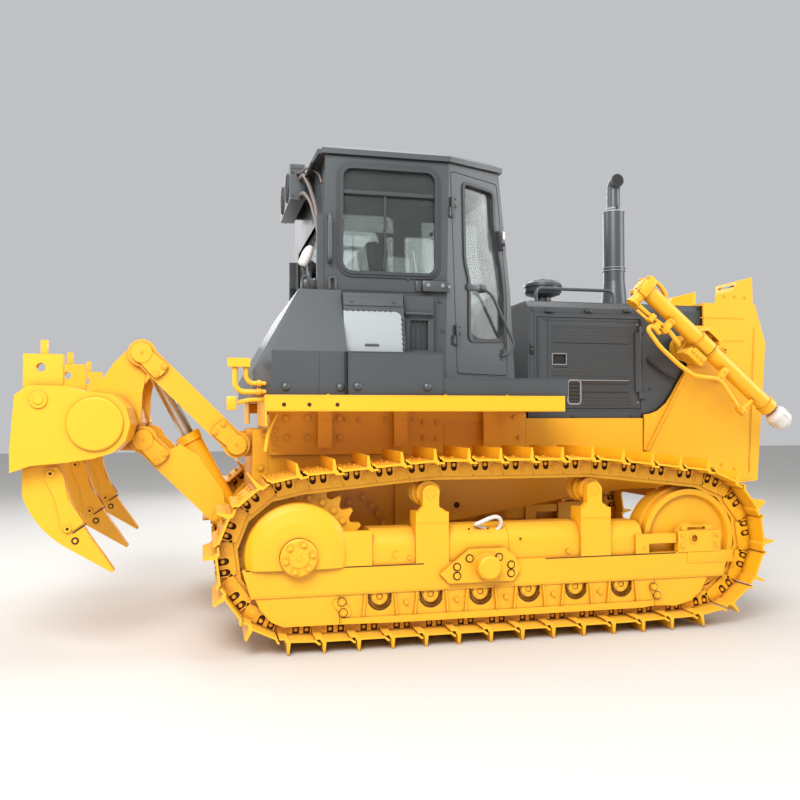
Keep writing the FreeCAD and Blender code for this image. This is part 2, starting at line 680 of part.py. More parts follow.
def fender():
    """Top plate, skirt, end plates and gussets over one track."""
    half, plate = FENDER_HALF, FENDER_PLATE
    x0, x1 = FENDER_X0, FENDER_X1
    top = box(x0, x1, -half, -HULL_HALF - SEAT_GAP, FENDER_TOP_Z - plate, FENDER_TOP_Z)
    skirt = box(x0, x1, -half, -half + plate, FENDER_SKIRT_Z, FENDER_TOP_Z)
    back = box(x0, x0 + plate, -half, -HULL_HALF - SEAT_GAP, FENDER_SKIRT_Z - 90, FENDER_TOP_Z)
    front = box(x1 - plate, x1, -half, -RAIL_HALF - SEAT_GAP, FENDER_SKIRT_Z, FENDER_TOP_Z)
    wall = box(CASE_X0, x1, -RAIL_HALF - 12 - SEAT_GAP, -RAIL_HALF - SEAT_GAP, 1190, FENDER_TOP_Z)
    spacer = box(CASE_X0, CASE_X1 - 2, -RAIL_HALF - 6, -HULL_HALF - SEAT_GAP, 1230, CASE_Z1)
    pieces = [top, skirt, back, front, wall, spacer]
    for x in RIB_XS:
        rib = cross_plate([(-RAIL_HALF - 10, 1240), (-RAIL_HALF - 10, FENDER_TOP_Z - plate + 1),
                           (-RAIL_HALF - 84, FENDER_TOP_Z - plate + 1), (-RAIL_HALF - 84, 1240)], x, x + plate)
        rib_flange = box(x - 44, x + 54, -RAIL_HALF - 90, -RAIL_HALF - 78, 1240, FENDER_TOP_Z - plate + 1)
        pieces += [rib, rib_flange]
    return fused(pieces)


def beyond(point, outward):
    """Block on the outer side of a plane, to cut a bevel with."""
    block = Part.makeBox(4000, 4000, 1000, V(-2000, -2000, 0))
    block.Placement = FreeCAD.Placement(point, FreeCAD.Rotation(V(0, 0, 1), outward))
    return block


def tank_corner():
    """Knee of the tank's right side, and the outward normals of the rear corner's upper and lower bevels."""
    knee = V(TANK_SIDE_X0, -TANK_HALF, BOX_TOP_Z)
    corner = V(TANK_X0, -TANK_CORNER_HALF, TANK_BACK_Z)
    top = V(TANK_TOP_X0, -TANK_TOP_HALF, TANK_TOP_Z)
    level = V(corner.x - knee.x, corner.y - knee.y, 0)
    return knee, (top - knee).cross(corner - knee), V(0, 0, 1).cross(level)


def fuel_tank():
    """Rear tank: straight band below, sides, back and rear corners leaning in above, arms beside the cab."""
    z0 = FENDER_TOP_Z + SEAT_GAP
    side = side_plate([(TANK_X0, z0), (TANK_SIDE_X1, z0), (TANK_SIDE_X1, TANK_TOP_Z), (TANK_TOP_X0, TANK_TOP_Z),
                       (TANK_X0, TANK_BACK_Z)], -TANK_HALF, TANK_HALF)
    back = cross_plate([(-TANK_HALF, z0), (TANK_HALF, z0), (TANK_HALF, BOX_TOP_Z), (TANK_TOP_HALF, TANK_TOP_Z),
                        (-TANK_TOP_HALF, TANK_TOP_Z), (-TANK_HALF, BOX_TOP_Z)], TANK_X0 - 10, TANK_SIDE_X1 + 10)
    tank = side.common(back)
    knee, upper, lower = tank_corner()
    for outward in (upper, lower):
        bevel = beyond(knee, outward)
        tank = tank.cut(bevel).cut(mirrored(bevel))
    room = CAB_HALF + 5
    return tank.cut(box(TANK_X1, TANK_SIDE_X1 + 1, -room, room, z0 - 1, TANK_TOP_Z + 1))


def side_console():
    """Box beside the cab with the higher tank behind it and two posts."""
    z0 = FENDER_TOP_Z + SEAT_GAP
    y1 = -CAB_HALF - 5
    low = box(BOX_X0, BOX_X1, -BOX_HALF, y1, z0, BOX_TOP_Z)
    high = cross_plate([(y1 - 190, BOX_TOP_Z - 1), (y1, BOX_TOP_Z - 1), (y1, HIGH_BOX_TOP_Z),
                        (y1 - 110, HIGH_BOX_TOP_Z)], BOX_X0, HIGH_BOX_X1)
    post = box(BOX_X1 - 204, BOX_X1, y1 - 55, y1, BOX_TOP_Z - 1, HIGH_BOX_TOP_Z)
    recess = box(BOX_X1 - 164, BOX_X1 - 40, y1 - 60, y1 - 30, BOX_TOP_Z + 34, BOX_TOP_Z + 234)
    return fused([low, high, post]).cut(recess)


def platform():
    """Floor plate under cab and steps, with the deeper step plates at the sides."""
    z0 = FENDER_TOP_Z + SEAT_GAP
    centre = box(PLATFORM_X0, PLATFORM_X1 - 18, -CAB_HALF, CAB_HALF, z0, FLOOR_TOP_Z)
    pieces = [centre]
    for side in (-1, 1):
        y0, y1 = sorted((side * BOX_HALF, side * (CAB_HALF - 5)))
        pieces.append(box(BOX_X1 + 1, PLATFORM_X1, y0, y1, z0, FLOOR_TOP_Z))
    hollow = box(PLATFORM_X0 + 40, PLATFORM_X1 - 60, -500, 500, z0 - 1, FLOOR_TOP_Z - 16)
    return fused(pieces).cut(hollow)


def cab_plan(z, inset, rear_x=CAB_REAR_X):
    """Corner points of the cab's plan at one height, moved in by a wall thickness."""
    rise = z - CAB_Z0
    slope = (CAB_HALF - CAB_FRONT_HALF) / (CAB_FRONT_X - CAB_CORNER_X)
    length = math.hypot(1, slope)
    half = CAB_HALF - inset
    upper_rise = max(z - CAB_BEND_Z, 0)
    front_x = CAB_FRONT_X - CAB_FRONT_LEAN * (rise - upper_rise) - CAB_UPPER_LEAN * upper_rise - inset
    corner_x = CAB_CORNER_X - CAB_CORNER_LEAN * rise
    corner_in = corner_x + (inset - inset * length) / slope
    front_half = half - slope * (front_x - corner_in)
    right = [(rear_x + inset, -half), (corner_in, -half), (front_x, -front_half)]
    return [V(x, y, z) for x, y in right] + [V(x, -y, z) for x, y in reversed(right)]


def cab_solid(z0, z1, inset):
    """Solid between the cab's plans at two heights, bent where the front wall bends."""
    wires = [Part.makePolygon(plan + [plan[0]]) for plan in (cab_plan(z, inset) for z in (z0, CAB_BEND_Z, z1))]
    return fused([Part.makeLoft(wires[:2], True, True), Part.makeLoft(wires[1:], True, True)])


def cab_back(inset, z0, z1):
    """Part of the cab that stands out over the tank's top."""
    half = CAB_HALF - inset
    return box(CAB_UPPER_REAR_X + inset, CAB_REAR_X + inset + 1, -half, half, z0, z1)


def side_opening(inset, x0=-745.0, x1=-92.0, z0=2417.0, z1=3124.0, radius=70.0):
    """Rounded cutter through the cab's right side wall."""
    points = [V(x0 + inset, -1000, z0 + inset), V(x1 - inset, -1000, z0 + inset),
              V(x1 - inset, -1000, z1 - inset), V(x0 + inset, -1000, z1 - inset)]
    return rounded_prism(points, radius - inset / 2, V(0, 150, 0))


# Right door, as (across, up) on its plane from the cab's lower side corner
DOOR_LEAF = ((108.0, 50.0), (569.0, 46.0), (549.0, 642.0), (436.0, 1411.0), (16.0, 1437.0))
DOOR_PANE = ((212.0, 288.0), (528.0, 310.0), (521.0, 640.0), (490.0, 822.0), (413.0, 1110.0), (400.0, 1350.0),
             (133.0, 1372.0), (158.0, 832.0), (204.0, 692.0))
DOOR_HANDLE = ((475.0, 940.0), (505.0, 940.0), (468.0, 1079.0), (438.0, 1079.0))
DOOR_KNUCKLES = (240.0, 1120.0)
KNUCKLE = 70.0
HINGE_BEHIND = 4.0
HINGE_OUT = 14.0


def door_frame():
    """Lower rear corner, forward and up directions and outward normal of the right door's plane."""
    low = cab_plan(CAB_Z0, 0)
    high = cab_plan(CAB_Z1, 0)
    forward = (low[2] - low[1]).normalize()
    up = (high[1] - low[1]).normalize()
    out = forward.cross(up).normalize()
    return low[1], forward, up, out


def door_point(across, up, depth):
    """Place by its distances forward and up on the door's plane and outwards from it."""
    corner, forward, upward, out = door_frame()
    return corner + forward * across + upward * up + out * depth


def door_prism(outline, radius, depth0, depth1):
    """Rounded plate whose outline lies on the door's plane."""
    points = [door_point(across, up, depth0) for across, up in outline]
    return rounded_prism(points, radius, door_frame()[3] * (depth1 - depth0))


def strip(across0, across1, up0, up1):
    return ((across0, up0), (across1, up0), (across1, up1), (across0, up1))


def hinge_across(up):
    """Place of the hinge line across the door, just behind the leaf's leaning rear edge."""
    (low, low_up), (high, high_up) = DOOR_LEAF[0], DOOR_LEAF[-1]
    return low - HINGE_BEHIND + (high - low) * (up - low_up) / (high_up - low_up)


def knuckle(up0, up1):
    """Hinge knuckle on the leaning line, between two heights on the door's plane."""
    foot = door_point(hinge_across(up0), up0, HINGE_OUT)
    head = door_point(hinge_across(up1), up1, HINGE_OUT)
    return Part.makeCylinder(HINGE_R, (head - foot).Length, foot, head - foot)


def door_opening():
    (a0, u0), (a1, u1), (a2, u2), (a3, u3), (a4, u4) = DOOR_LEAF
    room = DOOR_GAP
    outline = ((a0 - room, u0 - room), (a1 + room, u1 - room), (a2 + room, u2), (a3 + room, u3 + room),
               (a4 - room, u4 + room))
    return door_prism(outline, 24 + room, -CAB_WALL - 60, 60)


def shell_knuckles():
    """Fixed halves of the right door's hinges, with their straps behind the leaf."""
    pieces = []
    for up in DOOR_KNUCKLES:
        line = hinge_across(up + KNUCKLE / 2)
        strap = strip(max(line - 34, 2), line - 2, up + 2, up + KNUCKLE - 4)
        pieces += [knuckle(up, up + KNUCKLE), door_prism(strap, 1, -6, HINGE_OUT)]
    return pieces


def cab_door():
    """Door leaf with its window cut, hinge knuckles at the rear edge and handle box."""
    leaf = door_prism(DOOR_LEAF, 24, -CAB_WALL, 0)
    leaf = leaf.cut(door_prism(DOOR_PANE, 36, -CAB_WALL - 20, 20))
    pieces = [leaf, door_prism(DOOR_HANDLE, 8, -4, 46)]
    for height in DOOR_KNUCKLES:
        low = height + KNUCKLE + SEAT_GAP
        line = hinge_across(low + KNUCKLE / 2)
        pieces.append(knuckle(low, low + KNUCKLE))
        pieces.append(door_prism(strip(line + 2, line + 44, low + 2, low + KNUCKLE - 2), 1, SEAT_GAP, HINGE_OUT))
        pieces.append(door_prism(strip(line + 12, line + 44, low + 2, low + KNUCKLE - 2), 1, -4, HINGE_OUT))
    return fused(pieces)


def door_glass():
    """Pane that fills the door's window, a hair smaller than the opening."""
    centre_across = sum(a for a, _ in DOOR_PANE) / len(DOOR_PANE)
    centre_up = sum(u for _, u in DOOR_PANE) / len(DOOR_PANE)
    shrink = 1 - 4 * SEAT_GAP / (DOOR_PANE[1][0] - DOOR_PANE[0][0])
    outline = [(centre_across + (a - centre_across) * shrink, centre_up + (u - centre_up) * shrink)
               for a, u in DOOR_PANE]
    return door_prism(outline, 36, -CAB_WALL / 2 - 3, -CAB_WALL / 2 + 3)


def rear_opening(inset, x0, x1):
    """Rounded cutter through the cab's upper rear wall."""
    half, z0, z1 = 560 - inset, CAB_STEP_Z + CAB_FLOOR + 20 + inset, 2790 - inset
    return rounded_prism([V(x0, -half, z0), V(x0, half, z0), V(x0, half, z1), V(x0, -half, z1)], 60 - inset,
                         V(x1 - x0, 0, 0))


def front_opening(inset):
    """Rounded cutter through the cab's front wall."""
    half, z0, z1 = 570 - inset, 2360 + inset, 3110 - inset
    return rounded_prism([V(380, -half, z0), V(380, half, z0), V(380, half, z1), V(380, -half, z1)], 60 - inset,
                         V(260, 0, 0))


def cab_shell():
    """Hollow cab with its openings, door hinges and the two posts on its upper rear wall."""
    outer = fused([cab_solid(CAB_Z0, CAB_Z1, 0), cab_back(0, CAB_STEP_Z, CAB_Z1)])
    inner = fused([cab_solid(CAB_Z0 + CAB_FLOOR, CAB_Z1 + 50, CAB_WALL),
                   cab_back(CAB_WALL, CAB_STEP_Z + CAB_FLOOR, CAB_Z1 + 50)])
    shell = outer.cut(inner)
    cutter = side_opening(0)
    door = door_opening()
    shell = shell.cut(cutter).cut(mirrored(cutter)).cut(door).cut(mirrored(door))
    shell = shell.cut(rear_opening(0, CAB_UPPER_REAR_X - 20, CAB_UPPER_REAR_X + 80)).cut(front_opening(0))
    post = box(CAB_UPPER_REAR_X - 52, CAB_UPPER_REAR_X + 1, -CAB_HALF + 12, -CAB_HALF + 50, CAB_STEP_Z, 2800)
    extras = shell_knuckles() + [post]
    return fused([shell] + extras + [mirrored(piece) for piece in extras])


def cab_glass():
    """Fixed panes in the side, rear and front openings."""
    y = -CAB_HALF + CAB_WALL / 2
    slab = box(CAB_UPPER_REAR_X, 0, y - 3, y + 3, 2300, CAB_Z1)
    side = side_opening(SEAT_GAP).common(slab)
    rear = rear_opening(SEAT_GAP, CAB_UPPER_REAR_X + 22, CAB_UPPER_REAR_X + 28)
    pane = cab_solid(CAB_Z0, CAB_Z1, CAB_WALL / 2 - 3).cut(cab_solid(CAB_Z0 - 1, CAB_Z1 + 1, CAB_WALL / 2 + 3))
    front = pane.common(front_opening(SEAT_GAP)).common(box(380, 620, -600, 600, 2300, CAB_Z1))
    return [side, mirrored(side), rear, front]


def cab_roof():
    """Roof cap with a small overhang and chamfered edges, and a flap that slopes down behind."""
    rear = CAB_UPPER_REAR_X
    low = [p + V(0, 0, SEAT_GAP) for p in cab_plan(CAB_Z1, -24, rear)]
    mid = [p + V(0, 0, 36) for p in cab_plan(CAB_Z1, -24, rear)]
    top = [p + V(0, 0, ROOF_Z1 - CAB_Z1) for p in cab_plan(CAB_Z1, 46, rear)]
    wires = [Part.makePolygon(plan + [plan[0]]) for plan in (low, mid, top)]
    lower = Part.makeLoft(wires[:2], True, True)
    upper = Part.makeLoft(wires[1:], True, True)
    ledge = side_plate([(rear - 20, CAB_Z1 + 6), (rear - 20, CAB_Z1 + 36), (rear - 47, CAB_Z1 + 36),
                        (rear - 62, CAB_Z1 + 6)], -CAB_HALF + 20, CAB_HALF - 20)
    flap = side_plate([(rear - 40, CAB_Z1 + 7), (rear - 61, CAB_Z1 + 7), (rear - 93, CAB_Z1 - 56),
                       (rear - 75, CAB_Z1 - 56)], -CAB_HALF + 20, -520)
    return fused([lower, upper, ledge, flap, mirrored(flap)])


SEAT_BOX_Z = 2130.0


def operator_seat():
    """Cushion and backrest of the seat, as plain soft solids."""
    cushion = box(-430, 70, -260, 260, SEAT_BOX_Z + SEAT_GAP, 2250)
    backrest = side_plate([(-430, 2240), (-320, 2240), (-400, 2790), (-500, 2790)], -250, 250)
    return fused([cushion, backrest])


def cab_controls():
    """Seat box with arm consoles and levers, and the instrument console in front of it."""
    floor = CAB_Z0 + CAB_FLOOR + SEAT_GAP
    pieces = [box(-420, 20, -230, 230, floor, SEAT_BOX_Z)]
    for side in (-1, 1):
        y0, y1 = sorted((side * 300, side * 440))
        pieces.append(box(-420, 130, y0, y1, floor, 2330))
        y0, y1 = sorted((side * 220, side * 310))
        pieces.append(box(-420, 20, y0, y1, floor, 2000))
        pieces.append(bar((90, side * 370, 2320), (130, side * 370, 2520), 14))
    console = side_plate([(350, floor), (490, floor), (450, 2300), (360, 2300), (280, 2180)], -260, 260)
    return Part.makeCompound([fused(pieces), console])


def ac_unit():
    """Cooling unit behind the roof edge, on two brackets from the cab's rear wall."""
    pieces = [box(-1030, -923, -376, 376, 3027, 3285)]
    for side in (-1, 1):
        y0, y1 = sorted((side * 300, side * 340))
        pieces.append(box(-930, CAB_UPPER_REAR_X - SEAT_GAP, y0, y1, 3050, 3190))
    return fused(pieces)


def hood_outline(sheet):
    """Side view of the hood, moved in by a sheet's thickness where it closes."""
    return [(HOOD_X0, HOOD_Z0), (1655, HOOD_Z0), (1655, 1474), (1712, 1480), (1779, 1506), (1848, 1562),
            (1903, 1640), (1953, 1725), (2002, 1796), (2045, 1885), (2088, 2000), (2088, 2169), (2176, 2169), (2176, HOOD_TOP_Z - sheet),
            (HOOD_X0, HOOD_TOP_Z - sheet)]


def hood():
    """Engine hood, open below and in front, with side door openings."""
    sheet = HOOD_SHEET
    full = side_plate(hood_outline(0), -HOOD_HALF, HOOD_HALF)
    bevel = 46.0
    section = [(-HOOD_HALF, 1400), (HOOD_HALF, 1400), (HOOD_HALF, HOOD_TOP_Z - bevel),
               (HOOD_HALF - bevel, HOOD_TOP_Z), (-HOOD_HALF + bevel, HOOD_TOP_Z), (-HOOD_HALF, HOOD_TOP_Z - bevel)]
    inner = [(-HOOD_HALF + sheet, 1300), (HOOD_HALF - sheet, 1300),
             (HOOD_HALF - sheet, HOOD_TOP_Z - bevel - sheet / 2),
             (HOOD_HALF - bevel - sheet / 2, HOOD_TOP_Z - sheet), (-HOOD_HALF + bevel + sheet / 2, HOOD_TOP_Z - sheet),
             (-HOOD_HALF + sheet, HOOD_TOP_Z - bevel - sheet / 2)]
    shell = full.common(cross_plate(section, HOOD_X0, 2176))
    shell = shell.cut(cross_plate(inner, HOOD_X0 + sheet, 2200))
    opening = box(HOOD_DOOR_X0 - DOOR_GAP, HOOD_DOOR_X1 + DOOR_GAP, -700, 700, HOOD_DOOR_Z0 - DOOR_GAP,
                  HOOD_DOOR_Z1 + DOOR_GAP)
    stack_hole = Part.makeCylinder(STACK_R, 100, V(STACK_X, 0, HOOD_TOP_Z - 60))
    shell = shell.cut(opening).cut(stack_hole)
    lugs = []
    for z0, z1 in HOOD_LUGS:
        lug = Part.makeCylinder(HINGE_R, z1 - z0, V(HOOD_HINGE_X, -HOOD_HINGE_Y, z0))
        strap = box(HOOD_HINGE_X, HOOD_HINGE_X + 40, -HOOD_HINGE_Y - 6, -HOOD_HALF - SEAT_GAP, z0, z1)
        root = box(HOOD_HINGE_X + 20, HOOD_HINGE_X + 40, -HOOD_HINGE_Y - 6, -HOOD_HALF + 1, z0, z1)
        lugs += [lug, strap, root, mirrored(lug), mirrored(strap), mirrored(root)]
    return fused([shell] + lugs)


def hood_door():
    """Louvred side door with a pressed recess for its latch."""
    y = -HOOD_HALF
    leaf = box(HOOD_DOOR_X0, HOOD_DOOR_X1, y, y + 30, HOOD_DOOR_Z0, HOOD_DOOR_Z1)
    recess = box(HOOD_DOOR_X0 + 120, HOOD_DOOR_X0 + 230, y - 1, y + 14, 1850, 1925)
    leaf = leaf.cut(recess)
    for k in range(9):
        z = HOOD_DOOR_Z0 + 120 + k * 62
        if abs(z - 1887) < 60:
            continue
        leaf = leaf.cut(box(HOOD_DOOR_X0 + 130, HOOD_DOOR_X1 - 110, y - 1, y + 6, z, z + 7))
    z0, z1 = HOOD_LUGS[0][1] + SEAT_GAP, HOOD_LUGS[1][0] - SEAT_GAP
    hinge = Part.makeCylinder(HINGE_R, z1 - z0, V(HOOD_HINGE_X, -HOOD_HINGE_Y, z0))
    strap = box(HOOD_HINGE_X - 40, HOOD_HINGE_X, -HOOD_HINGE_Y - 6, y + 1, z0, z1)
    return fused([leaf, hinge, strap])


def chassis_panel():
    """Yellow panel below the hood, with the shelf that the hood stands on."""
    y = -RAIL_HALF - SEAT_GAP
    wall = side_plate([(694, FRAME_TOP_Z), (950, FRAME_TOP_Z), (950, FRAME_TOP_Z - 90), (1650, FRAME_TOP_Z - 90),
                       (1650, HOOD_Z0 - SEAT_GAP), (694, HOOD_Z0 - SEAT_GAP)], y - 12, y)
    shelf = box(CASE_X1 + 1100, 1650, -RAIL_HALF, -RAIL_HALF + 80, HOOD_Z0 - 16, HOOD_Z0 - SEAT_GAP)
    wall_top = box(950, 1650, y - 12, -RAIL_HALF + 1, HOOD_Z0 - 16, HOOD_Z0 - SEAT_GAP)
    prop = box(1000, 1060, -RAIL_HALF + 10, -RAIL_HALF + 60, FRAME_TOP_Z + SEAT_GAP, HOOD_Z0 - 10)
    return fused([wall, shelf, wall_top, prop])


def nose_outline():
    return [(1655, 1196), (1672, 1190), (1900, 905), (2100, 900), (2648, 945), (2733, 2040), (2640, 2345),
            (2180, 2345), (2180, 2163), (2094, 2163), (2094, 1999), (2051, 1882), (2008, 1793), (1958, 1721),
            (1908, 1636), (1852, 1557), (1782, 1500), (1714, 1474), (1661, 1468)]


def radiator_guard():
    """Heavy guard round the radiator: sides, top and a front frame with the grille's opening."""
    sheet = NOSE_SHEET
    full = side_plate(nose_outline(), -NOSE_HALF, NOSE_HALF)
    inside = side_plate([(1500, 700), (2627, 700), (2627, 945), (2711, 2036), (2624, 2325), (1500, 2325)],
                        -NOSE_HALF + sheet, NOSE_HALF - sheet)
    shell = full.cut(inside)
    mouth = side_plate([(2590, 1060), (2800, 1060), (2800, 2000), (2590, 2000)], -470, 470)
    shell = shell.cut(mouth)
    pieces = [shell]
    for side in (-1, 1):
        y0, y1 = sorted((side * (NOSE_HALF - 4), side * (NOSE_HALF + 14)))
        pieces.append(side_plate([(1672, 1196), (1686, 1190), (2018, 1776), (2004, 1783)], y0, y1))
        y0, y1 = sorted((side * (NOSE_HALF - 2), side * (NOSE_HALF + 48)))
        pieces.append(disc(LIFT_X, LIFT_Z, 96, y0, y1))
        y0, y1 = sorted((side * (NOSE_HALF - 2), side * (NOSE_HALF + 26)))
        pieces.append(side_plate([(LIFT_X, LIFT_Z - 96), (2150, 1840), (2200, 1860), (2200, 2080), (2150, 2100),
                                  (LIFT_X, LIFT_Z + 96)], y0, y1))
        y0, y1 = sorted((side * (NOSE_HALF + 40), side * (NOSE_HALF + 150)))
        pieces.append(disc(LIFT_X, LIFT_Z, 42, y0, y1))
        y0, y1 = sorted((side * 500, side * (NOSE_HALF - 2)))
        pieces.append(box(1960, 2060, y0, y1, FRAME_TOP_Z + SEAT_GAP, 1300))
    return fused(pieces)


def grille():
    """Frame with level slats that fills the mouth of the guard."""
    lean = (2733 - 2648) / (2040 - 945)
    face = lambda z: 2648 + (z - 945) * lean
    z0, z1, half = 1060 + SEAT_GAP, 2000 - SEAT_GAP, 470 - SEAT_GAP
    rim = side_plate([(face(z0) - 18, z0), (face(z0) - 4, z0), (face(z1) - 4, z1), (face(z1) - 18, z1)], -half, half)
    hole = box(2500, 2900, -half + 40, half - 40, z0 + 40, z1 - 40)
    pieces = [rim.cut(hole)]
    count = 14
    rise = (z1 - z0 - 100) / count
    for k in range(count):
        z = z0 + 62 + k * rise
        x = face(z)
        pieces.append(side_plate([(x - 17, z), (x - 12, z - 3), (x - 6, z + 22), (x - 11, z + 25)],
                                 -half + 39, half - 39))
    pieces.append(side_plate([(face(z0) - 20, z0 + 39), (face(z0) - 12, z0 + 39), (face(z1) - 12, z1 - 39),
                              (face(z1) - 20, z1 - 39)], -15, 15))
    return fused(pieces)


def radiator_core():
    half = NOSE_HALF - NOSE_SHEET - SEAT_GAP
    return box(2380, 2480, -half, half, FRAME_TOP_Z - 180, 2260)


def lamp_guard():
    """Raised housing on the nose, open in front, with a round lamp in it."""
    z0 = 2345 + SEAT_GAP
    sheet = 14.0
    y0, y1 = -NOSE_HALF, -180
    full = side_plate([(2281, z0), (2287, 2412), (2440, 2446), (2480, 2520), (2618, 2562), (2622, z0)], y0, y1)
    room = side_plate([(2300, z0 + sheet), (2304, 2402), (2432, 2430), (2470, 2502), (2640, 2550),
                       (2640, z0 + sheet)], y0 + sheet, y1 - sheet)
    plan = [V(2281, y0, 2300), V(2700, y0, 2300), V(2700, y1, 2300), V(2580, y1, 2300)]
    full = full.common(prism(plan, V(0, 0, 300)))
    plan = [V(2305, y0, 2300), V(2700, y0, 2300), V(2700, y1, 2300), V(2604, y1, 2300)]
    room = room.common(prism(plan, V(0, 0, 300)))
    middle = (y0 + y1) / 2
    lamp = Part.makeCone(46, 74, 66, V(2524, middle, 2450), V(1, 0, 0))
    stem = bar((2540, middle, z0 + 8), (2550, middle, 2430), 16)
    return fused([full.cut(room), lamp, stem])


def exhaust_stack():
    """Cone base, muffler, tail pipe and the elbow that turns its mouth to the side."""
    base = spun([(0, HOOD_TOP_Z + SEAT_GAP), (112, HOOD_TOP_Z + SEAT_GAP), (112, HOOD_TOP_Z + 12), (90, 2583),
                 (STACK_R, 2583), (STACK_R, 3180), (60, 3196), (0, 3196)], STACK_X, 0)
    ring = spun([(0, 2672), (STACK_R + 5, 2672), (STACK_R + 5, 2702), (0, 2702)], STACK_X, 0)
    bend = 66.0
    outer = pipe([(STACK_X, 0, 3190), (STACK_X, 0, STACK_TOP_Z), (STACK_X, -80, STACK_TOP_Z)],
                 TAIL_PIPE_R, bend)
    inner = pipe([(STACK_X, 0, 3200), (STACK_X, 0, STACK_TOP_Z), (STACK_X, -90, STACK_TOP_Z)],
                 TAIL_PIPE_R - 4, bend)
    return fused([base, ring, outer]).cut(inner)


def air_precleaner():
    """Round bowl with a cap on a short neck."""
    return spun([(0, HOOD_TOP_Z + SEAT_GAP), (62, HOOD_TOP_Z + SEAT_GAP), (62, 2430), (140, 2455), (150, 2475),
                 (150, 2510), (160, 2518), (152, 2540), (100, 2568), (0, 2578)], 1085, 0)


def grab_rails():
    """Handrails on the hood's top and by the cab."""
    z = HOOD_TOP_Z + SEAT_GAP
    hood_rail = pipe([(880, -350, z), (880, -350, 2452), (1535, -350, 2452), (1535, -350, z)], 13, 50)
    y = -CAB_HALF
    x = CAB_UPPER_REAR_X + 27
    side_rail = pipe([(x, y - SEAT_GAP, 2485), (x, y - 55, 2485), (x, y - 55, 2785), (x, y - SEAT_GAP, 2785)],
                     13, 25)
    return [hood_rail, side_rail, mirrored(side_rail)]


def lean_about(shape, x, z, angle):
    """Turn a level shape so that its +X end points down by the angle, and move it to a pin."""
    turned_shape = shape.copy()
    turned_shape.rotate(V(0, 0, 0), V(0, 1, 0), angle)
    turned_shape.translate(V(x, 0, z))
    return turned_shape


def along_x(profile, y):
    """Body of revolution about a line along X at the height of the pin, from (x, radius) pairs."""
    loop = [V(x, y, radius) for x, radius in profile]
    face = Part.Face(Part.makePolygon(loop + [loop[0]]))
    return face.revolve(V(0, y, 0), V(1, 0, 0), 360)


def lift_barrel():
    """Blade lift cylinder: head, tube, trunnion collar and gland."""
    r, back, front = LIFT_BARREL_R, LIFT_BARREL_BACK, LIFT_BARREL_FRONT
    bore = LIFT_ROD_R + PIN_FIT
    profile = [(-back, 0), (-back, r + 8), (-back + 70, r + 12), (-back + 80, r), (-60, r), (-55, r + 12),
               (55, r + 12), (60, r), (front - 60, r), (front - 56, r + 8), (front - 10, r + 8), (front, r),
               (front, bore), (-LIFT_ROD_BACK - 20, bore), (-LIFT_ROD_BACK - 20, 0)]
    return lean_about(along_x(profile, -LIFT_Y), LIFT_X, LIFT_Z, LIFT_ANGLE)


def lift_yoke():
    """Fork that swings on the guard's shaft and holds the barrel's collar between two pins."""
    inner_y = -NOSE_HALF - 52
    hub = turned([(0, 42 + PIN_FIT), (0, 82), (-90, 82), (-90, 42 + PIN_FIT)], 0, 0, inner_y)
    crown = box(-62, 62, inner_y - 118, inner_y - 89, -120, 120)
    pieces = [hub, crown]
    for side in (-1, 1):
        z0, z1 = sorted((side * (LIFT_BARREL_R + 22), side * (LIFT_BARREL_R + 60)))
        pieces.append(box(-62, 62, -LIFT_Y - 62, inner_y - 89, z0, z1))
        p0 = side * (LIFT_BARREL_R + 12 + SEAT_GAP)
        pieces.append(bar((0, -LIFT_Y, p0), (0, -LIFT_Y, side * (LIFT_BARREL_R + 76)), 28))
    yoke = fused(pieces).cut(disc(0, 0, 42 + PIN_FIT, inner_y - 98, inner_y + 1))
    return lean_about(yoke, LIFT_X, LIFT_Z, LIFT_ANGLE)


def lift_rod():
    """Rod with its eye, which the blade's bracket would be pinned to."""
    shaft = bar((-LIFT_ROD_BACK, -LIFT_Y, 0), (LIFT_EYE - 30, -LIFT_Y, 0), LIFT_ROD_R)
    eye = disc(LIFT_EYE, 0, 52, -LIFT_Y - 38, -LIFT_Y + 38)
    return lean_about(fused([shaft, eye]).cut(disc(LIFT_EYE, 0, 28, -LIFT_Y - 50, -LIFT_Y + 50)),
                      LIFT_X, LIFT_Z, LIFT_ANGLE)


def rod_wrap():
    """Packing bag tied round the rod's end."""
    rod = LIFT_ROD_R + SEAT_GAP
    outer = [(750, rod), (756, rod + 8), (770, 62), (800, 78), (880, 78), (915, 56), (930, 0)]
    inner = [(926, 0), (912, 52), (878, 74), (802, 74), (774, 58), (764, rod)]
    return lean_about(along_x(outer + inner, -LIFT_Y), LIFT_X, LIFT_Z, LIFT_ANGLE)


# Ripper pins, all in the side view as (x, z)

ARM_PIN = (RIP_LOWER[0] + RIP_REACH[0], RIP_LOWER[1] + RIP_REACH[1])
MAST_PIN = (RIP_UPPER[0] + RIP_REACH[0], RIP_UPPER[1] + RIP_REACH[1])


def link_strip(pin_a, pin_b, half_depth, y0, y1, trim):
    """Straight strip between two pins, each end cut short by trim."""
    length = math.dist(pin_a, pin_b)
    ux, uz = (pin_b[0] - pin_a[0]) / length, (pin_b[1] - pin_a[1]) / length
    outline = []
    for s, n in ((trim, -half_depth), (length - trim, -half_depth), (length - trim, half_depth), (trim, half_depth)):
        outline.append((pin_a[0] + ux * s - uz * n, pin_a[1] + uz * s + ux * n))
    return side_plate(outline, y0, y1)


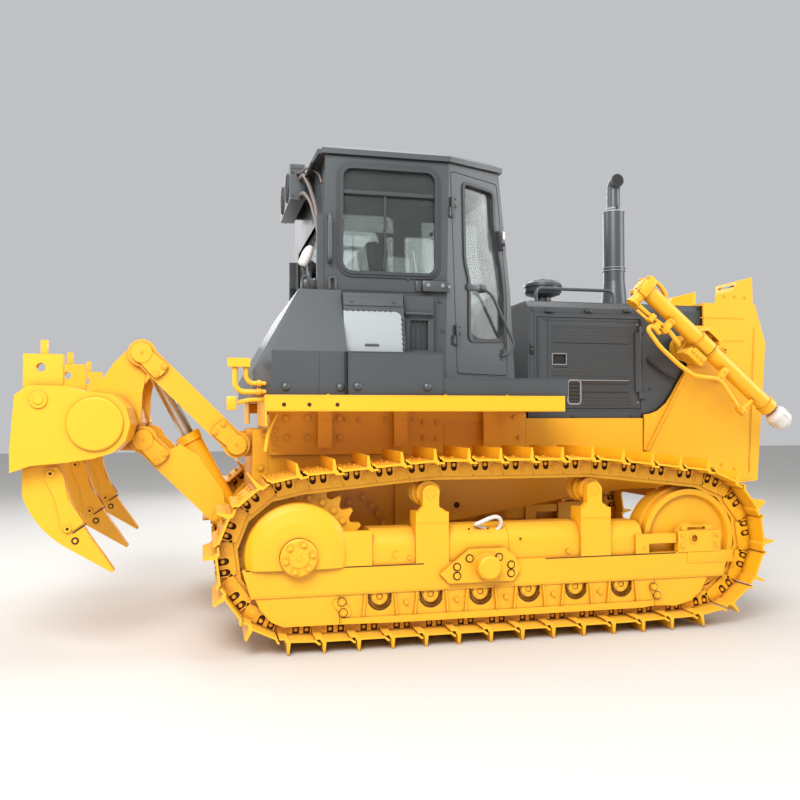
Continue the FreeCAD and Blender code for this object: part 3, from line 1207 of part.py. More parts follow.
def forked_link(pin_a, pin_b):
    """Box link on the right side whose two cheeks straddle the ears at both pins."""
    pieces = []
    for y0, y1 in ((-LINK_Y1, -LINK_Y1 + LINK_PLATE), (-LINK_Y0 - LINK_PLATE, -LINK_Y0)):
        pieces.append(link_strip(pin_a, pin_b, LINK_HALF_DEPTH, y0, y1, 0))
        for x, z in (pin_a, pin_b):
            pieces.append(disc(x, z, LINK_END_R, y0, y1))
    pieces.append(link_strip(pin_a, pin_b, LINK_HALF_DEPTH, -LINK_Y1 + 1, -LINK_Y0 - 1, 150))
    link = fused(pieces)
    for x, z in (pin_a, pin_b):
        link = link.cut(disc(x, z, LINK_PIN_R + PIN_FIT, -LINK_Y1 - 20, -LINK_Y0 + 20))
    return link


def ripper_arm():
    """Lower arm: two forked sides joined by a cross box under the cylinders."""
    side = forked_link(RIP_LOWER, ARM_PIN)
    length = math.dist(RIP_LOWER, ARM_PIN)
    ux, uz = (ARM_PIN[0] - RIP_LOWER[0]) / length, (ARM_PIN[1] - RIP_LOWER[1]) / length

    def at(s, n):
        """Point along the arm and to its upper side."""
        return (RIP_LOWER[0] + ux * s + uz * n, RIP_LOWER[1] + uz * s - ux * n)
    hump = side_plate([at(180, 60), at(length - 170, 60), at(length - 190, 150), at(length - 330, 178),
                       at(260, 120)], -LINK_Y1, -LINK_Y1 + LINK_PLATE)
    side = fused([side, hump])
    cross = side_plate([at(500, -74), at(650, -74), at(650, 42), at(500, 42)], -LINK_Y0 - 6, LINK_Y0 + 6)
    return fused([side, mirrored(side), cross])


def pin(x, z, y0, y1):
    """Linkage pin with a flat cover at its outer end."""
    return fused([disc(x, z, LINK_PIN_R, y0, y1), disc(x, z, LINK_PIN_R + 22, y0 - 12, y0)])


def ear(points, centre, radius, y0, y1):
    """Lug plate with a round end."""
    return fused([side_plate(points, y0, y1), disc(centre[0], centre[1], radius, y0, y1)])


def ripper_bracket():
    """Box on the rear case with ears and pins for the arm, the upper links and the cylinders."""
    x1 = CASE_X0 - SEAT_GAP
    x0 = RIP_LOWER[0] + LINK_END_R + 6
    body = box(x0, x1, -HULL_HALF + 10, HULL_HALF - 10, 520, 1366)
    pieces = [body]
    ear_r = LINK_END_R - 12
    for y0, y1 in ((-EAR_Y1, -EAR_Y0), (EAR_Y0, EAR_Y1)):
        for x, z in (RIP_LOWER, RIP_UPPER):
            pieces.append(ear([(x, z - ear_r), (x0 + 2, z - ear_r), (x0 + 2, z + ear_r), (x, z + ear_r)],
                              (x, z), ear_r, y0, y1))
    for middle in (-RIP_CYL_Y, RIP_CYL_Y):
        for y0, y1 in ((middle - 74, middle - 46), (middle + 46, middle + 74)):
            x, z = RIP_LOWER
            pieces.append(ear([(x, z - 70), (x0 + 2, z - 70), (x0 + 2, z + 70), (x, z + 70)], (x, z), 70, y0, y1))
        pieces.append(disc(RIP_LOWER[0], RIP_LOWER[1], 38, middle - 76, middle + 76))
    for x, z in (RIP_LOWER, RIP_UPPER):
        right = pin(x, z, -LINK_Y1 - 4, -LINK_Y0 + 2)
        pieces += [right, mirrored(right)]
    return fused(pieces)


def ripper_beam():
    """Tool beam with three shank pockets, link ears and the ears for the cylinders' rods."""
    outline = [(-2708, 1582), (-2732, 1257), (-2731, 1129), (-2618, 1168), (-2433, 1183), (-2271, 1206),
               (-2162, 1239), (-2089, 1312), (-2062, 1412), (-2089, 1512), (-2162, 1590), (-2324, 1608), (-2425, 1637), (-2635, 1641)]
    body = side_plate(outline, -BEAM_HALF, BEAM_HALF)
    for y in SHANK_YS:
        body = body.cut(box(SHANK_X0 - SEAT_GAP, SHANK_X1 + SEAT_GAP, y - SHANK_HALF - SEAT_GAP,
                            y + SHANK_HALF + SEAT_GAP, 1000, 1800))
    ax, az = ARM_PIN
    mx, mz = MAST_PIN
    for side in (-1, 1):
        y0, y1 = sorted((side * (LINK_Y1 + SIDE_ROOM), side * (LINK_Y0 - SIDE_ROOM)))
        for x, z in (ARM_PIN, MAST_PIN):
            body = body.cut(disc(x, z, LINK_END_R + 8, y0, y1))
    pieces = [body]
    mast = [(-2300, 1560), (-2345, 1590), (-2345, 1626), (-2220, 1819), (mx - 63, mz + 57), (mx + 30, mz + 60),
            (mx + 40, mz - 60), (-2037, 1617), (ax - 20, az + 70), (ax + 20, az - 60), (ax - 60, az - 70),
            (-2240, 1230)]
    for side in (-1, 1):
        y0, y1 = sorted((side * EAR_Y0, side * EAR_Y1))
        pieces.append(side_plate(mast, y0, y1))
        for x, z in (ARM_PIN, MAST_PIN):
            pieces.append(disc(x, z, LINK_END_R - 12, y0, y1))
        for near in (RIP_CYL_Y - 76, RIP_CYL_Y + 48):
            y0, y1 = sorted((side * near, side * (near + 28)))
            pieces.append(side_plate([(-2300, 1560), (mx - 50, mz + 48), (mx + 50, mz + 48), (mx + 60, mz - 60),
                                      (-2190, 1560)], y0, y1))
            pieces.append(disc(mx, mz, 66, y0, y1))
    for x, z in (ARM_PIN, MAST_PIN):
        right = pin(x, z, -LINK_Y1 - 4, -LINK_Y0 + 2)
        pieces += [right, mirrored(right)]
    right_end = turned([(-BEAM_HALF - 22, 0), (-BEAM_HALF - 22, 150), (-BEAM_HALF - 14, 160),
                        (-BEAM_HALF + 2, 160), (-BEAM_HALF + 2, 0)], -2262, 1412, 0)
    pieces += [right_end, mirrored(right_end)]
    beam = fused(pieces)
    for middle in (-RIP_CYL_Y, RIP_CYL_Y):
        beam = beam.cut(disc(mx, mz, 200, middle - 47.5, middle + 47.5))
    return beam


def shank(y):
    """Ripper shank: straight head, curved leg, protector and point."""
    y0 = y - SHANK_HALF
    x0, x1 = SHANK_X0, SHANK_X1
    edges = [Part.LineSegment(V(x0, y0, 1832), V(x0, y0, 985)).toShape(),
             Part.Arc(V(x0, y0, 985), V(-2590, y0, 812), V(-2451, y0, 681)).toShape(),
             Part.LineSegment(V(-2451, y0, 681), V(-2172, y0, 509)).toShape(),
             Part.LineSegment(V(-2172, y0, 509), V(-2160, y0, 520)).toShape(),
             Part.LineSegment(V(-2160, y0, 520), V(-2244, y0, 649)).toShape(),
             Part.Arc(V(-2244, y0, 649), V(-2395, y0, 915), V(x1, y0, 1128)).toShape(),
             Part.LineSegment(V(x1, y0, 1128), V(x1, y0, 1832)).toShape(),
             Part.LineSegment(V(x1, y0, 1832), V(x0, y0, 1832)).toShape()]
    leg = Part.Face(Part.Wire(edges)).extrude(V(0, 2 * SHANK_HALF, 0))
    peg = box(-2587, -2549, y - 24, y + 24, 1830, 1917)
    hole = disc(-2582, 1752, 27, y - 60, y + 60)
    return fused([leg, peg]).cut(hole)


def ripper_barrel():
    """Lift cylinder tube with the eye on the bracket's pin, built level and leaned into place."""
    length = RIP_BARREL_LENGTH
    profile = [(84, 0), (84, RIP_BARREL_R), (length - 60, RIP_BARREL_R), (length - 56, RIP_BARREL_R + 10),
               (length, RIP_BARREL_R + 10), (length, RIP_ROD_R + PIN_FIT), (100, RIP_ROD_R + PIN_FIT), (100, 0)]
    tube = along_x(profile, -RIP_CYL_Y)
    eye = disc(0, 0, 64, -RIP_CYL_Y - 44, -RIP_CYL_Y + 44)
    neck = box(0, 90, -RIP_CYL_Y - 40, -RIP_CYL_Y + 40, -50, 50)
    level = fused([tube, neck, eye]).cut(disc(0, 0, 38 + PIN_FIT, -RIP_CYL_Y - 60, -RIP_CYL_Y + 60))
    return level


def ripper_rod():
    reach = math.dist(RIP_LOWER, MAST_PIN)
    shaft = bar((reach - RIP_ROD_LENGTH, -RIP_CYL_Y, 0), (reach - 40, -RIP_CYL_Y, 0), RIP_ROD_R)
    eye = disc(reach, 0, 62, -RIP_CYL_Y - 42, -RIP_CYL_Y + 42)
    return fused([shaft, eye]).cut(disc(reach, 0, 38, -RIP_CYL_Y - 60, -RIP_CYL_Y + 60))


def ripper_cylinder(level):
    """Turn a level piece of the ripper cylinder to run from the lower pin to the mast pin."""
    angle = math.degrees(math.atan2(MAST_PIN[1] - RIP_LOWER[1], MAST_PIN[0] - RIP_LOWER[0]))
    return pair(lean_about(level, RIP_LOWER[0], RIP_LOWER[1], -angle))


def rear_pipes():
    """Hydraulic block and two bent pipes that come out of the tank's rear corner."""
    y = -TANK_HALF + 53
    block = box(-1492, -1355, y - 30, y + 30, 1762, 1816)
    first = pipe([(-1446, y, 1764), (-1446, y, 1608), (-1200, y, 1608)], 17, 60)
    second = pipe([(-1379, y, 1764), (-1379, y, 1661), (-1200, y, 1661)], 15, 50)
    knee, _, outward = tank_corner()
    outside = beyond(knee + outward.normalize() * SEAT_GAP, outward)
    return fused([block, first, second]).common(outside)


save("track_right", track())
save("track_left", mirrored(track()))
save("track_frames", pair(track_frame()))
save("roller_guards", pair(Part.makeCompound(roller_guard(-1) + roller_guard(1))))
save("rollers", pair(Part.makeCompound(rollers())))
save("sprockets", pair(sprocket()))
save("final_drives", pair(final_drive()))
save("idlers", pair(idler()))
save("arm_trunnions", pair(arm_trunnion()))
save("main_frame", main_frame())
save("suspension_bars", Part.makeCompound([equalizer_bar(), pair(pivot_shafts())]))
save("engine_block", box(760, 1900, -330, 330, ENGINE_Z0, ENGINE_Z1))
save("fenders", pair(fender()))
save("fuel_tank", fuel_tank())
save("side_consoles", pair(side_console()))
save("platform", platform())
save("cab_shell", cab_shell())
save("cab_roof", cab_roof())
save("cab_glass", Part.makeCompound(cab_glass()))
save("operator_seat", operator_seat())
save("cab_controls", cab_controls())
save("ac_unit", ac_unit())
save("hood", hood())
save("chassis_panels", pair(chassis_panel()))
save("radiator_guard", radiator_guard())
save("radiator_grille", grille())
save("radiator_core", radiator_core())
save("lamp_guards", pair(lamp_guard()))
save("exhaust_stack", exhaust_stack())
save("air_precleaner", air_precleaner())
save("grab_rails", Part.makeCompound(grab_rails()))
save("ripper_bracket", ripper_bracket())
save("rear_pipes", rear_pipes())
for side, place in (("right", lambda shape: shape), ("left", mirrored)):
    save("cab_door_" + side, place(cab_door()))
    save("door_glass_" + side, place(door_glass()))
    save("hood_door_" + side, place(hood_door()))
    save("lift_barrel_" + side, place(Part.makeCompound([lift_barrel(), lift_yoke()])))
    save("lift_rod_" + side, place(lift_rod()))
    save("rod_wrap_" + side, place(rod_wrap()))
save("ripper_arm", ripper_arm())
save("ripper_links", pair(forked_link(RIP_UPPER, MAST_PIN)))
save("ripper_beam", ripper_beam())
save("ripper_shanks", Part.makeCompound([shank(y) for y in SHANK_YS]))
save("ripper_barrels", ripper_cylinder(ripper_barrel()))
save("ripper_rods", ripper_cylinder(ripper_rod()))
print("idler x", round(IDLER_X, 1))
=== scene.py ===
"""Paint, fittings and studio for a crawler bulldozer with a closed cab, a rear ripper and no blade."""

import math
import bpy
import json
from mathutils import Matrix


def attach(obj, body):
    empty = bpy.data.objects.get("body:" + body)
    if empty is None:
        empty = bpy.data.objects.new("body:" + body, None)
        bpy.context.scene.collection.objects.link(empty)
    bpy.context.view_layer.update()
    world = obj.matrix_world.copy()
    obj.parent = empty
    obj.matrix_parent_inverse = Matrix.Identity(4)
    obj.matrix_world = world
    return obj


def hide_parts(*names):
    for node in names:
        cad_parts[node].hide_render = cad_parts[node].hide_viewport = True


bl_info = {
    "name": "Crawler bulldozer fittings",
    "version": (1, 0, 0),
    "blender": (4, 5, 0),
    "location": "3D View > Sidebar > Bulldozer",
    "description": "Paints the packed bulldozer and adds its links, bolts, pipes, trim and a studio",
    "category": "Object",
}

import bmesh
import bpy
from bpy.props import FloatProperty, FloatVectorProperty, PointerProperty
from mathutils import Matrix, Vector

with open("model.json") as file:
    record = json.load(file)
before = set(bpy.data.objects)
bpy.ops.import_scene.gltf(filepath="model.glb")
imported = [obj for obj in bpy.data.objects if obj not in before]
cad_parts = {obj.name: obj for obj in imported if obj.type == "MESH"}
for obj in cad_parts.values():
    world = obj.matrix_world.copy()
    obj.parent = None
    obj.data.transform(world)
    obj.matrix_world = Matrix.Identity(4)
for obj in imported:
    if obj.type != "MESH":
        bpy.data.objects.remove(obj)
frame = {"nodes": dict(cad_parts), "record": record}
NODES = frame["nodes"]
MM = 0.001

# Chain pins in the side view, in mm as x and z, from under the rear roller counter-clockwise
PINS = (
    (-493, 149), (-277, 149), (-61, 149), (155, 149), (371, 149), (587, 149), (803, 149), (1019, 149),
    (1235, 151.3), (1450.9, 157.1), (1666.8, 163), (1879.2, 202.6), (2046.4, 339.3), (2125.1, 540.4),
    (2095.1, 754.3), (1963.9, 926), (1765.5, 1011.2), (1550.8, 1035.3), (1336.1, 1059.1), (1121.4, 1082.9),
    (906.2, 1101), (690.2, 1101), (474.2, 1101), (258.2, 1101), (42.2, 1101), (-173.8, 1101), (-389.1, 1084),
    (-604.2, 1063.9), (-819.3, 1043.7), (-1034.3, 1023.6), (-1245.4, 977.7), (-1411.7, 839.8), (-1490.9, 638.9),
    (-1463.6, 424.6), (-1336.4, 250), (-1140.8, 158.3), (-925, 150.3), (-709, 149.6),
)
PITCH = 216.0
TRACK_Y = 1000.0
SPROCKET = (-1060.0, 585.0)
IDLER = (1702.1, 590.0)
ROLLER_XS = tuple(-539.0 + 337.6 * k for k in range(6))
ROLLER_Z = 308.0
CARRIER_XS = (-201.0, 950.0)
CARRIER_Z = 955.0
LIFT_PIN = (1974.0, 1983.0)
LIFT_LEAN = math.radians(40.1)
LIFT_Y = -900.0
ARM_PIN = (-2029.0, 1299.0)
MAST_PIN = (-2038.0, 1885.0)
LOWER_PIN = (-1402.0, 675.0)
UPPER_PIN = (-1411.0, 1261.0)
BOX_TOP = 1866.0
CONSOLE_OUT = (0, -0.9802, 0.198)
CAB_HALF = 925.0
HOOD_HALF = 560.0
HOOD_TOP = 2325.0
GUARD_HALF = 600.0
HULL_PANEL_HALF = 592.0
BEAM_SIDE = 1180.0
STACK_X = 1729.0
CLEANER_X = 1085.0
COOLER_HALF = 376.0
COOLER_MIDDLE_X = -976.0
KEEPER_Y = -556.0
# Distances of a shoe's two bolt rows ahead of its pin
NUT_ROWS = (74, 142)


# Places and shapes


def facing(at, out=(0, -1, 0), up=(0, 0, 1)):
    """Matrix at a place in mm whose Z points outwards and whose Y leans towards up."""
    axis = Vector(out).normalized()
    rise = Vector(up) - axis * axis.dot(Vector(up))
    if rise.length < 1e-6:
        rise = Vector((1, 0, 0)) - axis * axis.x
    rise.normalize()
    place = Matrix((rise.cross(axis), rise, axis)).transposed().to_4x4()
    place.translation = Vector(at) * MM
    return place


def level(at):
    """Place in mm that faces up, with Y ahead."""
    return facing(at, (0, 0, 1), (1, 0, 0))


def shifted(place, x, y, z=0.0):
    return place @ Matrix.Translation(Vector((x, y, z)) * MM)


def around(place, radius, turn, rise=0.0):
    """Place on a circle about another place."""
    return shifted(place, radius * math.cos(turn), radius * math.sin(turn), rise)


def rect(x0, y0, x1, y1):
    """Outline of a rectangle from two opposite corners."""
    return (x0, y0), (x1, y0), (x1, y1), (x0, y1)


def add_round(bm, place, radius, height, top=None, sides=20):
    """Disc, post or cone that rises from a place."""
    middle = place @ Matrix.Translation((0, 0, height * MM / 2))
    bmesh.ops.create_cone(bm, cap_ends=True, segments=sides, radius1=radius * MM,
                          radius2=(radius if top is None else top) * MM, depth=height * MM, matrix=middle)


def add_block(bm, place, size, bevel=0.0):
    """Block that rises from a place, with softened edges."""
    scale = Matrix.Diagonal((*(v * MM for v in size), 1))
    middle = place @ Matrix.Translation((0, 0, size[2] * MM / 2))
    verts = bmesh.ops.create_cube(bm, size=1, matrix=middle @ scale)["verts"]
    if bevel:
        edges = list({edge for vert in verts for edge in vert.link_edges})
        bmesh.ops.bevel(bm, geom=edges, offset=bevel * MM, segments=2, profile=0.5, affect="EDGES", material=-1)


def add_bolt(bm, place, radius, turn=0.0):
    """Hexagon head on its washer."""
    add_round(bm, place, radius * 1.45, radius * 0.28, sides=12)
    add_round(bm, place @ Matrix.Rotation(turn, 4, "Z"), radius, radius * 0.95, radius * 0.93, sides=6)


def add_plate(bm, place, outline, thickness, corner=0.0, hole=0.0):
    """Plate from an outline in mm; corner rounds it, and hole leaves only a rim of that width."""
    part = bmesh.new()
    face = part.faces.new([part.verts.new((x * MM, y * MM, 0)) for x, y in outline])
    if corner:
        bmesh.ops.bevel(part, geom=list(part.verts), offset=corner * MM, segments=4, profile=0.5,
                        affect="VERTICES", material=-1)
    face = max(part.faces, key=lambda f: f.calc_area())
    if hole:
        bmesh.ops.inset_region(part, faces=[face], thickness=hole * MM, use_boundary=True,
                                use_even_offset=True)
        bmesh.ops.delete(part, geom=[face], context="FACES_ONLY")
    made = bmesh.ops.extrude_face_region(part, geom=list(part.faces), use_keep_orig=True)["geom"]
    lifted = [item for item in made if isinstance(item, bmesh.types.BMVert)]
    bmesh.ops.translate(part, vec=(0, 0, thickness * MM), verts=lifted)
    place_part(bm, part, place)


def place_part(bm, part, *places):
    """Put a finished part into a mesh at each of the places."""
    mesh = bpy.data.meshes.new("part")
    part.to_mesh(mesh)
    part.free()
    for place in places:
        copy = mesh.copy()
        copy.transform(place)
        bm.from_mesh(copy)
        bpy.data.meshes.remove(copy)
    bpy.data.meshes.remove(mesh)


def rounded_path(points, bend, steps=5):
    """Points of a path whose inner corners are smooth bends."""
    points = [Vector(point) for point in points]
    path = [points[0]]
    for before, corner, after in zip(points, points[1:], points[2:]):
        back, ahead = before - corner, after - corner
        reach = min(bend, back.length * 0.48, ahead.length * 0.48)
        start, end = corner + back.normalized() * reach, corner + ahead.normalized() * reach
        for step in range(steps + 1):
            share = step / steps
            path.append(start * (1 - share) ** 2 + corner * 2 * share * (1 - share) + end * share ** 2)
    return path + [points[-1]]


def add_tube(bm, points, radius, bend=0.0, sides=10):
    """Round pipe, hose or rod along a path in mm."""
    path = rounded_path(points, bend) if bend else [Vector(point) for point in points]
    aims = [(after - before).normalized() for before, after in zip(path, path[1:])]
    place = facing(path[0], aims[0])
    ring = bmesh.ops.create_circle(bm, cap_ends=True, segments=sides, radius=radius * MM, matrix=place)["verts"]
    edges = list({edge for vert in ring for edge in vert.link_edges})
    heading = aims[0]
    for k in range(1, len(path)):
        made = bmesh.ops.extrude_edge_only(bm, edges=edges)["geom"]
        ring = [item for item in made if isinstance(item, bmesh.types.BMVert)]
        fresh = set(ring)
        edges = [item for item in made if isinstance(item, bmesh.types.BMEdge) and set(item.verts) <= fresh]
        aim = (aims[k - 1] + aims[min(k, len(aims) - 1)]).normalized()
        bmesh.ops.translate(bm, vec=(path[k] - path[k - 1]) * MM, verts=ring)
        bmesh.ops.rotate(bm, cent=path[k] * MM, matrix=heading.rotation_difference(aim).to_matrix(), verts=ring)
        heading = aim
    bmesh.ops.edgeloop_fill(bm, edges=edges)


def add_lathe(bm, place, profile, sides=24):
    """Turned shape from (height, radius) pairs in mm."""
    part = bmesh.new()
    verts = [part.verts.new((radius * MM, 0, height * MM)) for height, radius in profile]
    edges = [part.edges.new(pair) for pair in zip(verts, verts[1:])]
    bmesh.ops.spin(part, geom=verts + edges, cent=(0, 0, 0), axis=(0, 0, 1), angle=2 * math.pi, steps=sides,
                   use_merge=True)
    bmesh.ops.remove_doubles(part, verts=list(part.verts), dist=1e-5)
    place_part(bm, part, place)


def add_ring(bm, place, inner, outer, height, sides=24):
    """Flat ring that rises from a place."""
    add_lathe(bm, place, ((0, inner), (0, outer), (height, outer), (height, inner), (0, inner)), sides)


def both_sides(bm):
    """Add the mirror image on the machine's other side."""
    bmesh.ops.mirror(bm, geom=list(bm.verts) + list(bm.edges) + list(bm.faces), matrix=Matrix.Identity(4),
                     merge_dist=0, axis="Y")
    return bm


def to_left(bm):
    bmesh.ops.scale(bm, vec=(1, -1, 1), verts=list(bm.verts))
    return bm


def make_piece(name, bm, finish, body="root", sharp=35.0):
    """Finished object that rides on a body of the frame."""
    bmesh.ops.recalc_face_normals(bm, faces=list(bm.faces))
    mesh = bpy.data.meshes.new(name)
    bm.to_mesh(mesh)
    bm.free()
    mesh.shade_smooth()
    mesh.set_sharp_from_angle(angle=math.radians(sharp))
    mesh.materials.append(bpy.data.materials[finish])
    piece = bpy.data.objects.new(name, mesh)
    bpy.context.scene.collection.objects.link(piece)
    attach(piece, body)
    return piece


def make_sided(side, body, pieces):
    """Finish pieces that are drawn on the right, for a body of one side."""
    for name, bm, finish, slot in pieces:
        if side == "left":
            to_left(bm)
        make_piece(name + "_" + side, bm, finish, body + "_" + side)


def on_door(across, up, depth):
    """Place in mm by its distances forward and up on the right cab door's plane, and outwards from it."""
    place = DOOR_PLACE @ Vector((across * MM, up * MM, depth * MM))
    return place / MM


DOOR_OUT = Vector((600, 250, 0)).cross(Vector((28, 0, 1494.7)))
DOOR_PLACE = facing((-25, -925, 1705.3), DOOR_OUT, (28, 0, 1494.7))


def on_lift(along, off, y):
    """Place in mm beside the lift cylinder's axis, which runs down to the front."""
    c, s = math.cos(LIFT_LEAN), math.sin(LIFT_LEAN)
    return LIFT_PIN[0] + along * c + off * s, y, LIFT_PIN[1] - along * s + off * c


# Settings


class DozerPaint(bpy.types.PropertyGroup):
    """Colours of paint, rubber and glass, and how dusty they are"""

    yellow: FloatVectorProperty(name="Yellow", description="Paint of tracks, frames, guard and ripper",
                                subtype="COLOR", size=3, min=0, max=1, default=(0.90, 0.46, 0.012))
    grey: FloatVectorProperty(name="Grey", description="Paint of cab, tank and hood", subtype="COLOR", size=3,
                              min=0, max=1, default=(0.062, 0.071, 0.077))
    black: FloatVectorProperty(name="Black", description="Rubber and trim", subtype="COLOR", size=3, min=0,
                               max=1, default=(0.016, 0.017, 0.018))
    iron: FloatVectorProperty(name="Iron", description="Bare cast parts", subtype="COLOR", size=3, min=0, max=1,
                              default=(0.06, 0.058, 0.055))
    film: FloatVectorProperty(name="Film", description="White packing film", subtype="COLOR", size=3, min=0,
                              max=1, default=(0.72, 0.68, 0.65))
    glass: FloatVectorProperty(name="Glass", description="Tint of the windows", subtype="COLOR", size=3, min=0,
                               max=1, default=(0.26, 0.30, 0.29))
    dust: FloatVectorProperty(name="Dust", description="Colour of dust on level faces", subtype="COLOR", size=3,
                              min=0, max=1, default=(0.62, 0.56, 0.45))
    dust_amount: FloatProperty(name="Dust amount", description="Share of dust on faces that look up",
                               default=0.08, min=0, max=1, subtype="FACTOR")


class DozerFasteners(bpy.types.PropertyGroup):
    """Sizes of bolt heads and seams"""

    frame_bolt: FloatProperty(name="Frame bolt", description="Radius of the heads on the track frames",
                              default=0.017, min=0.004, unit="LENGTH")
    hull_bolt: FloatProperty(name="Hull bolt", description="Radius of the heads on the hull's walls",
                             default=0.015, min=0.004, unit="LENGTH")
    shoe_bolt: FloatProperty(name="Shoe bolt", description="Radius of the heads and nuts of the track shoes",
                             default=0.014, min=0.004, unit="LENGTH")
    small_bolt: FloatProperty(name="Small bolt", description="Radius of the heads on panels and trim",
                              default=0.008, min=0.002, unit="LENGTH")
    seam: FloatProperty(name="Seam", description="Width of the dark joints between panels", default=0.004,
                        min=0.001, unit="LENGTH")


class DozerStudio(bpy.types.PropertyGroup):
    """Camera, lights and floor"""

    camera_place: FloatVectorProperty(name="Camera", description="Place of the camera", subtype="TRANSLATION",
                                      unit="LENGTH", size=3, default=(-1.6421, -6.3683, 1.4492))
    camera_yaw: FloatProperty(name="Yaw", description="Turn of the view from straight across towards the front",
                              subtype="ANGLE", default=math.radians(13.3946))
    camera_pitch: FloatProperty(name="Pitch", description="Tilt of the view upwards", subtype="ANGLE",
                                default=math.radians(1.1933))
    camera_roll: FloatProperty(name="Roll", description="Roll of the camera", subtype="ANGLE",
                               default=math.radians(-0.08))
    lens: FloatProperty(name="Lens", description="Focal length in mm on a 36 mm sensor", default=37.365, min=10)
    key_power: FloatProperty(name="Key light", description="Power of the large light above the near side in watts",
                             default=1050.0, min=0)
    fill_power: FloatProperty(name="Fill light", description="Power of the lights at front and rear in watts",
                              default=300.0, min=0)
    sky: FloatProperty(name="Surrounding light", description="Strength of the even light all round", default=0.55,
                       min=0)
    floor_colour: FloatVectorProperty(name="Floor", description="Colour of the floor", subtype="COLOR", size=3,
                                      min=0, max=1, default=(0.60, 0.58, 0.55))
    floor_size: FloatProperty(name="Floor size", description="Edge length of the floor", default=60.0, min=10,
                              unit="LENGTH")


# Finishes


def group_value(tree, kind, **values):
    """New node with its settings."""
    node = tree.nodes.new(kind)
    for key, value in values.items():
        setattr(node, key, value)
    return node


def weathered_and_shaded_group():
    """Node group for painted sheet: uneven tone, painted shade in crevices, dust on level faces and a fine surface.
    """
    tree = bpy.data.node_groups.new("Weathered paint and painted shade", "ShaderNodeTree")
    sockets = (("Paint", "INPUT", "NodeSocketColor"), ("Dust", "INPUT", "NodeSocketColor"),
               ("Dust amount", "INPUT", "NodeSocketFloat"), ("Tone spread", "INPUT", "NodeSocketFloat"),
               ("Base roughness", "INPUT", "NodeSocketFloat"), ("Colour", "OUTPUT", "NodeSocketColor"),
               ("Roughness", "OUTPUT", "NodeSocketFloat"), ("Height", "OUTPUT", "NodeSocketFloat"))
    for name, direction, kind in sockets:
        tree.interface.new_socket(name=name, in_out=direction, socket_type=kind)
    links = tree.links.new
    start = tree.nodes.new("NodeGroupInput")
    end = tree.nodes.new("NodeGroupOutput")
    coords = tree.nodes.new("ShaderNodeTexCoord")
    broad = tree.nodes.new("ShaderNodeTexNoise")
    broad.inputs["Scale"].default_value = 1.7
    broad.inputs["Detail"].default_value = 4
    fine = tree.nodes.new("ShaderNodeTexNoise")
    fine.inputs["Scale"].default_value = 46
    fine.inputs["Detail"].default_value = 3
    for noise in (broad, fine):
        links(coords.outputs["Object"], noise.inputs["Vector"])
    spread = group_value(tree, "ShaderNodeMath", operation="MULTIPLY_ADD")
    links(broad.outputs["Fac"], spread.inputs[0])
    links(start.outputs["Tone spread"], spread.inputs[1])
    half = group_value(tree, "ShaderNodeMath", operation="MULTIPLY_ADD")
    links(start.outputs["Tone spread"], half.inputs[0])
    half.inputs[1].default_value = -0.5
    half.inputs[2].default_value = 1.0
    links(half.outputs[0], spread.inputs[2])
    # Painted shade: an occlusion test darkens the paint towards deep orange in crevices, corners and round bolts
    near = tree.nodes.new("ShaderNodeAmbientOcclusion")
    near.samples = 4
    near.inputs["Distance"].default_value = 0.06
    unshaded_share = tree.nodes.new("ShaderNodeMapRange")
    unshaded_share.inputs["From Min"].default_value = 0.30
    unshaded_share.inputs["From Max"].default_value = 0.85
    links(near.outputs["AO"], unshaded_share.inputs["Value"])
    crevice_shade = group_value(tree, "ShaderNodeVectorMath", operation="MULTIPLY")
    links(start.outputs["Paint"], crevice_shade.inputs[0])
    crevice_shade.inputs[1].default_value = (0.46, 0.26, 0.18)
    paint_with_crevice_shade = group_value(tree, "ShaderNodeMix", data_type="RGBA")
    links(unshaded_share.outputs[0], paint_with_crevice_shade.inputs["Factor"])
    links(crevice_shade.outputs[0], paint_with_crevice_shade.inputs["A"])
    links(start.outputs["Paint"], paint_with_crevice_shade.inputs["B"])
    tone = group_value(tree, "ShaderNodeVectorMath", operation="SCALE")
    links(paint_with_crevice_shade.outputs["Result"], tone.inputs[0])
    links(spread.outputs[0], tone.inputs["Scale"])
    shape = tree.nodes.new("ShaderNodeNewGeometry")
    parts = tree.nodes.new("ShaderNodeSeparateXYZ")
    links(shape.outputs["Normal"], parts.inputs[0])
    level = group_value(tree, "ShaderNodeMapRange", interpolation_type="SMOOTHSTEP")
    level.inputs["From Min"].default_value = 0.35
    level.inputs["From Max"].default_value = 0.98
    links(parts.outputs["Z"], level.inputs["Value"])
    patchy = tree.nodes.new("ShaderNodeMapRange")
    patchy.inputs["From Min"].default_value = 0.3
    patchy.inputs["From Max"].default_value = 0.7
    patchy.inputs["To Min"].default_value = 0.35
    links(fine.outputs["Fac"], patchy.inputs["Value"])
    cover = group_value(tree, "ShaderNodeMath", operation="MULTIPLY")
    links(level.outputs[0], cover.inputs[0])
    links(patchy.outputs[0], cover.inputs[1])
    share = group_value(tree, "ShaderNodeMath", operation="MULTIPLY")
    links(cover.outputs[0], share.inputs[0])
    links(start.outputs["Dust amount"], share.inputs[1])
    mix = group_value(tree, "ShaderNodeMix", data_type="RGBA")
    links(share.outputs[0], mix.inputs["Factor"])
    links(tone.outputs[0], mix.inputs["A"])
    links(start.outputs["Dust"], mix.inputs["B"])
    links(mix.outputs["Result"], end.inputs["Colour"])
    dull = group_value(tree, "ShaderNodeMath", operation="MULTIPLY_ADD")
    links(broad.outputs["Fac"], dull.inputs[0])
    dull.inputs[1].default_value = 0.16
    links(start.outputs["Base roughness"], dull.inputs[2])
    dusty = group_value(tree, "ShaderNodeMath", operation="MULTIPLY_ADD", use_clamp=True)
    links(share.outputs[0], dusty.inputs[0])
    dusty.inputs[1].default_value = 1.2
    links(dull.outputs[0], dusty.inputs[2])
    links(dusty.outputs[0], end.inputs["Roughness"])
    links(fine.outputs["Fac"], end.inputs["Height"])
    return tree


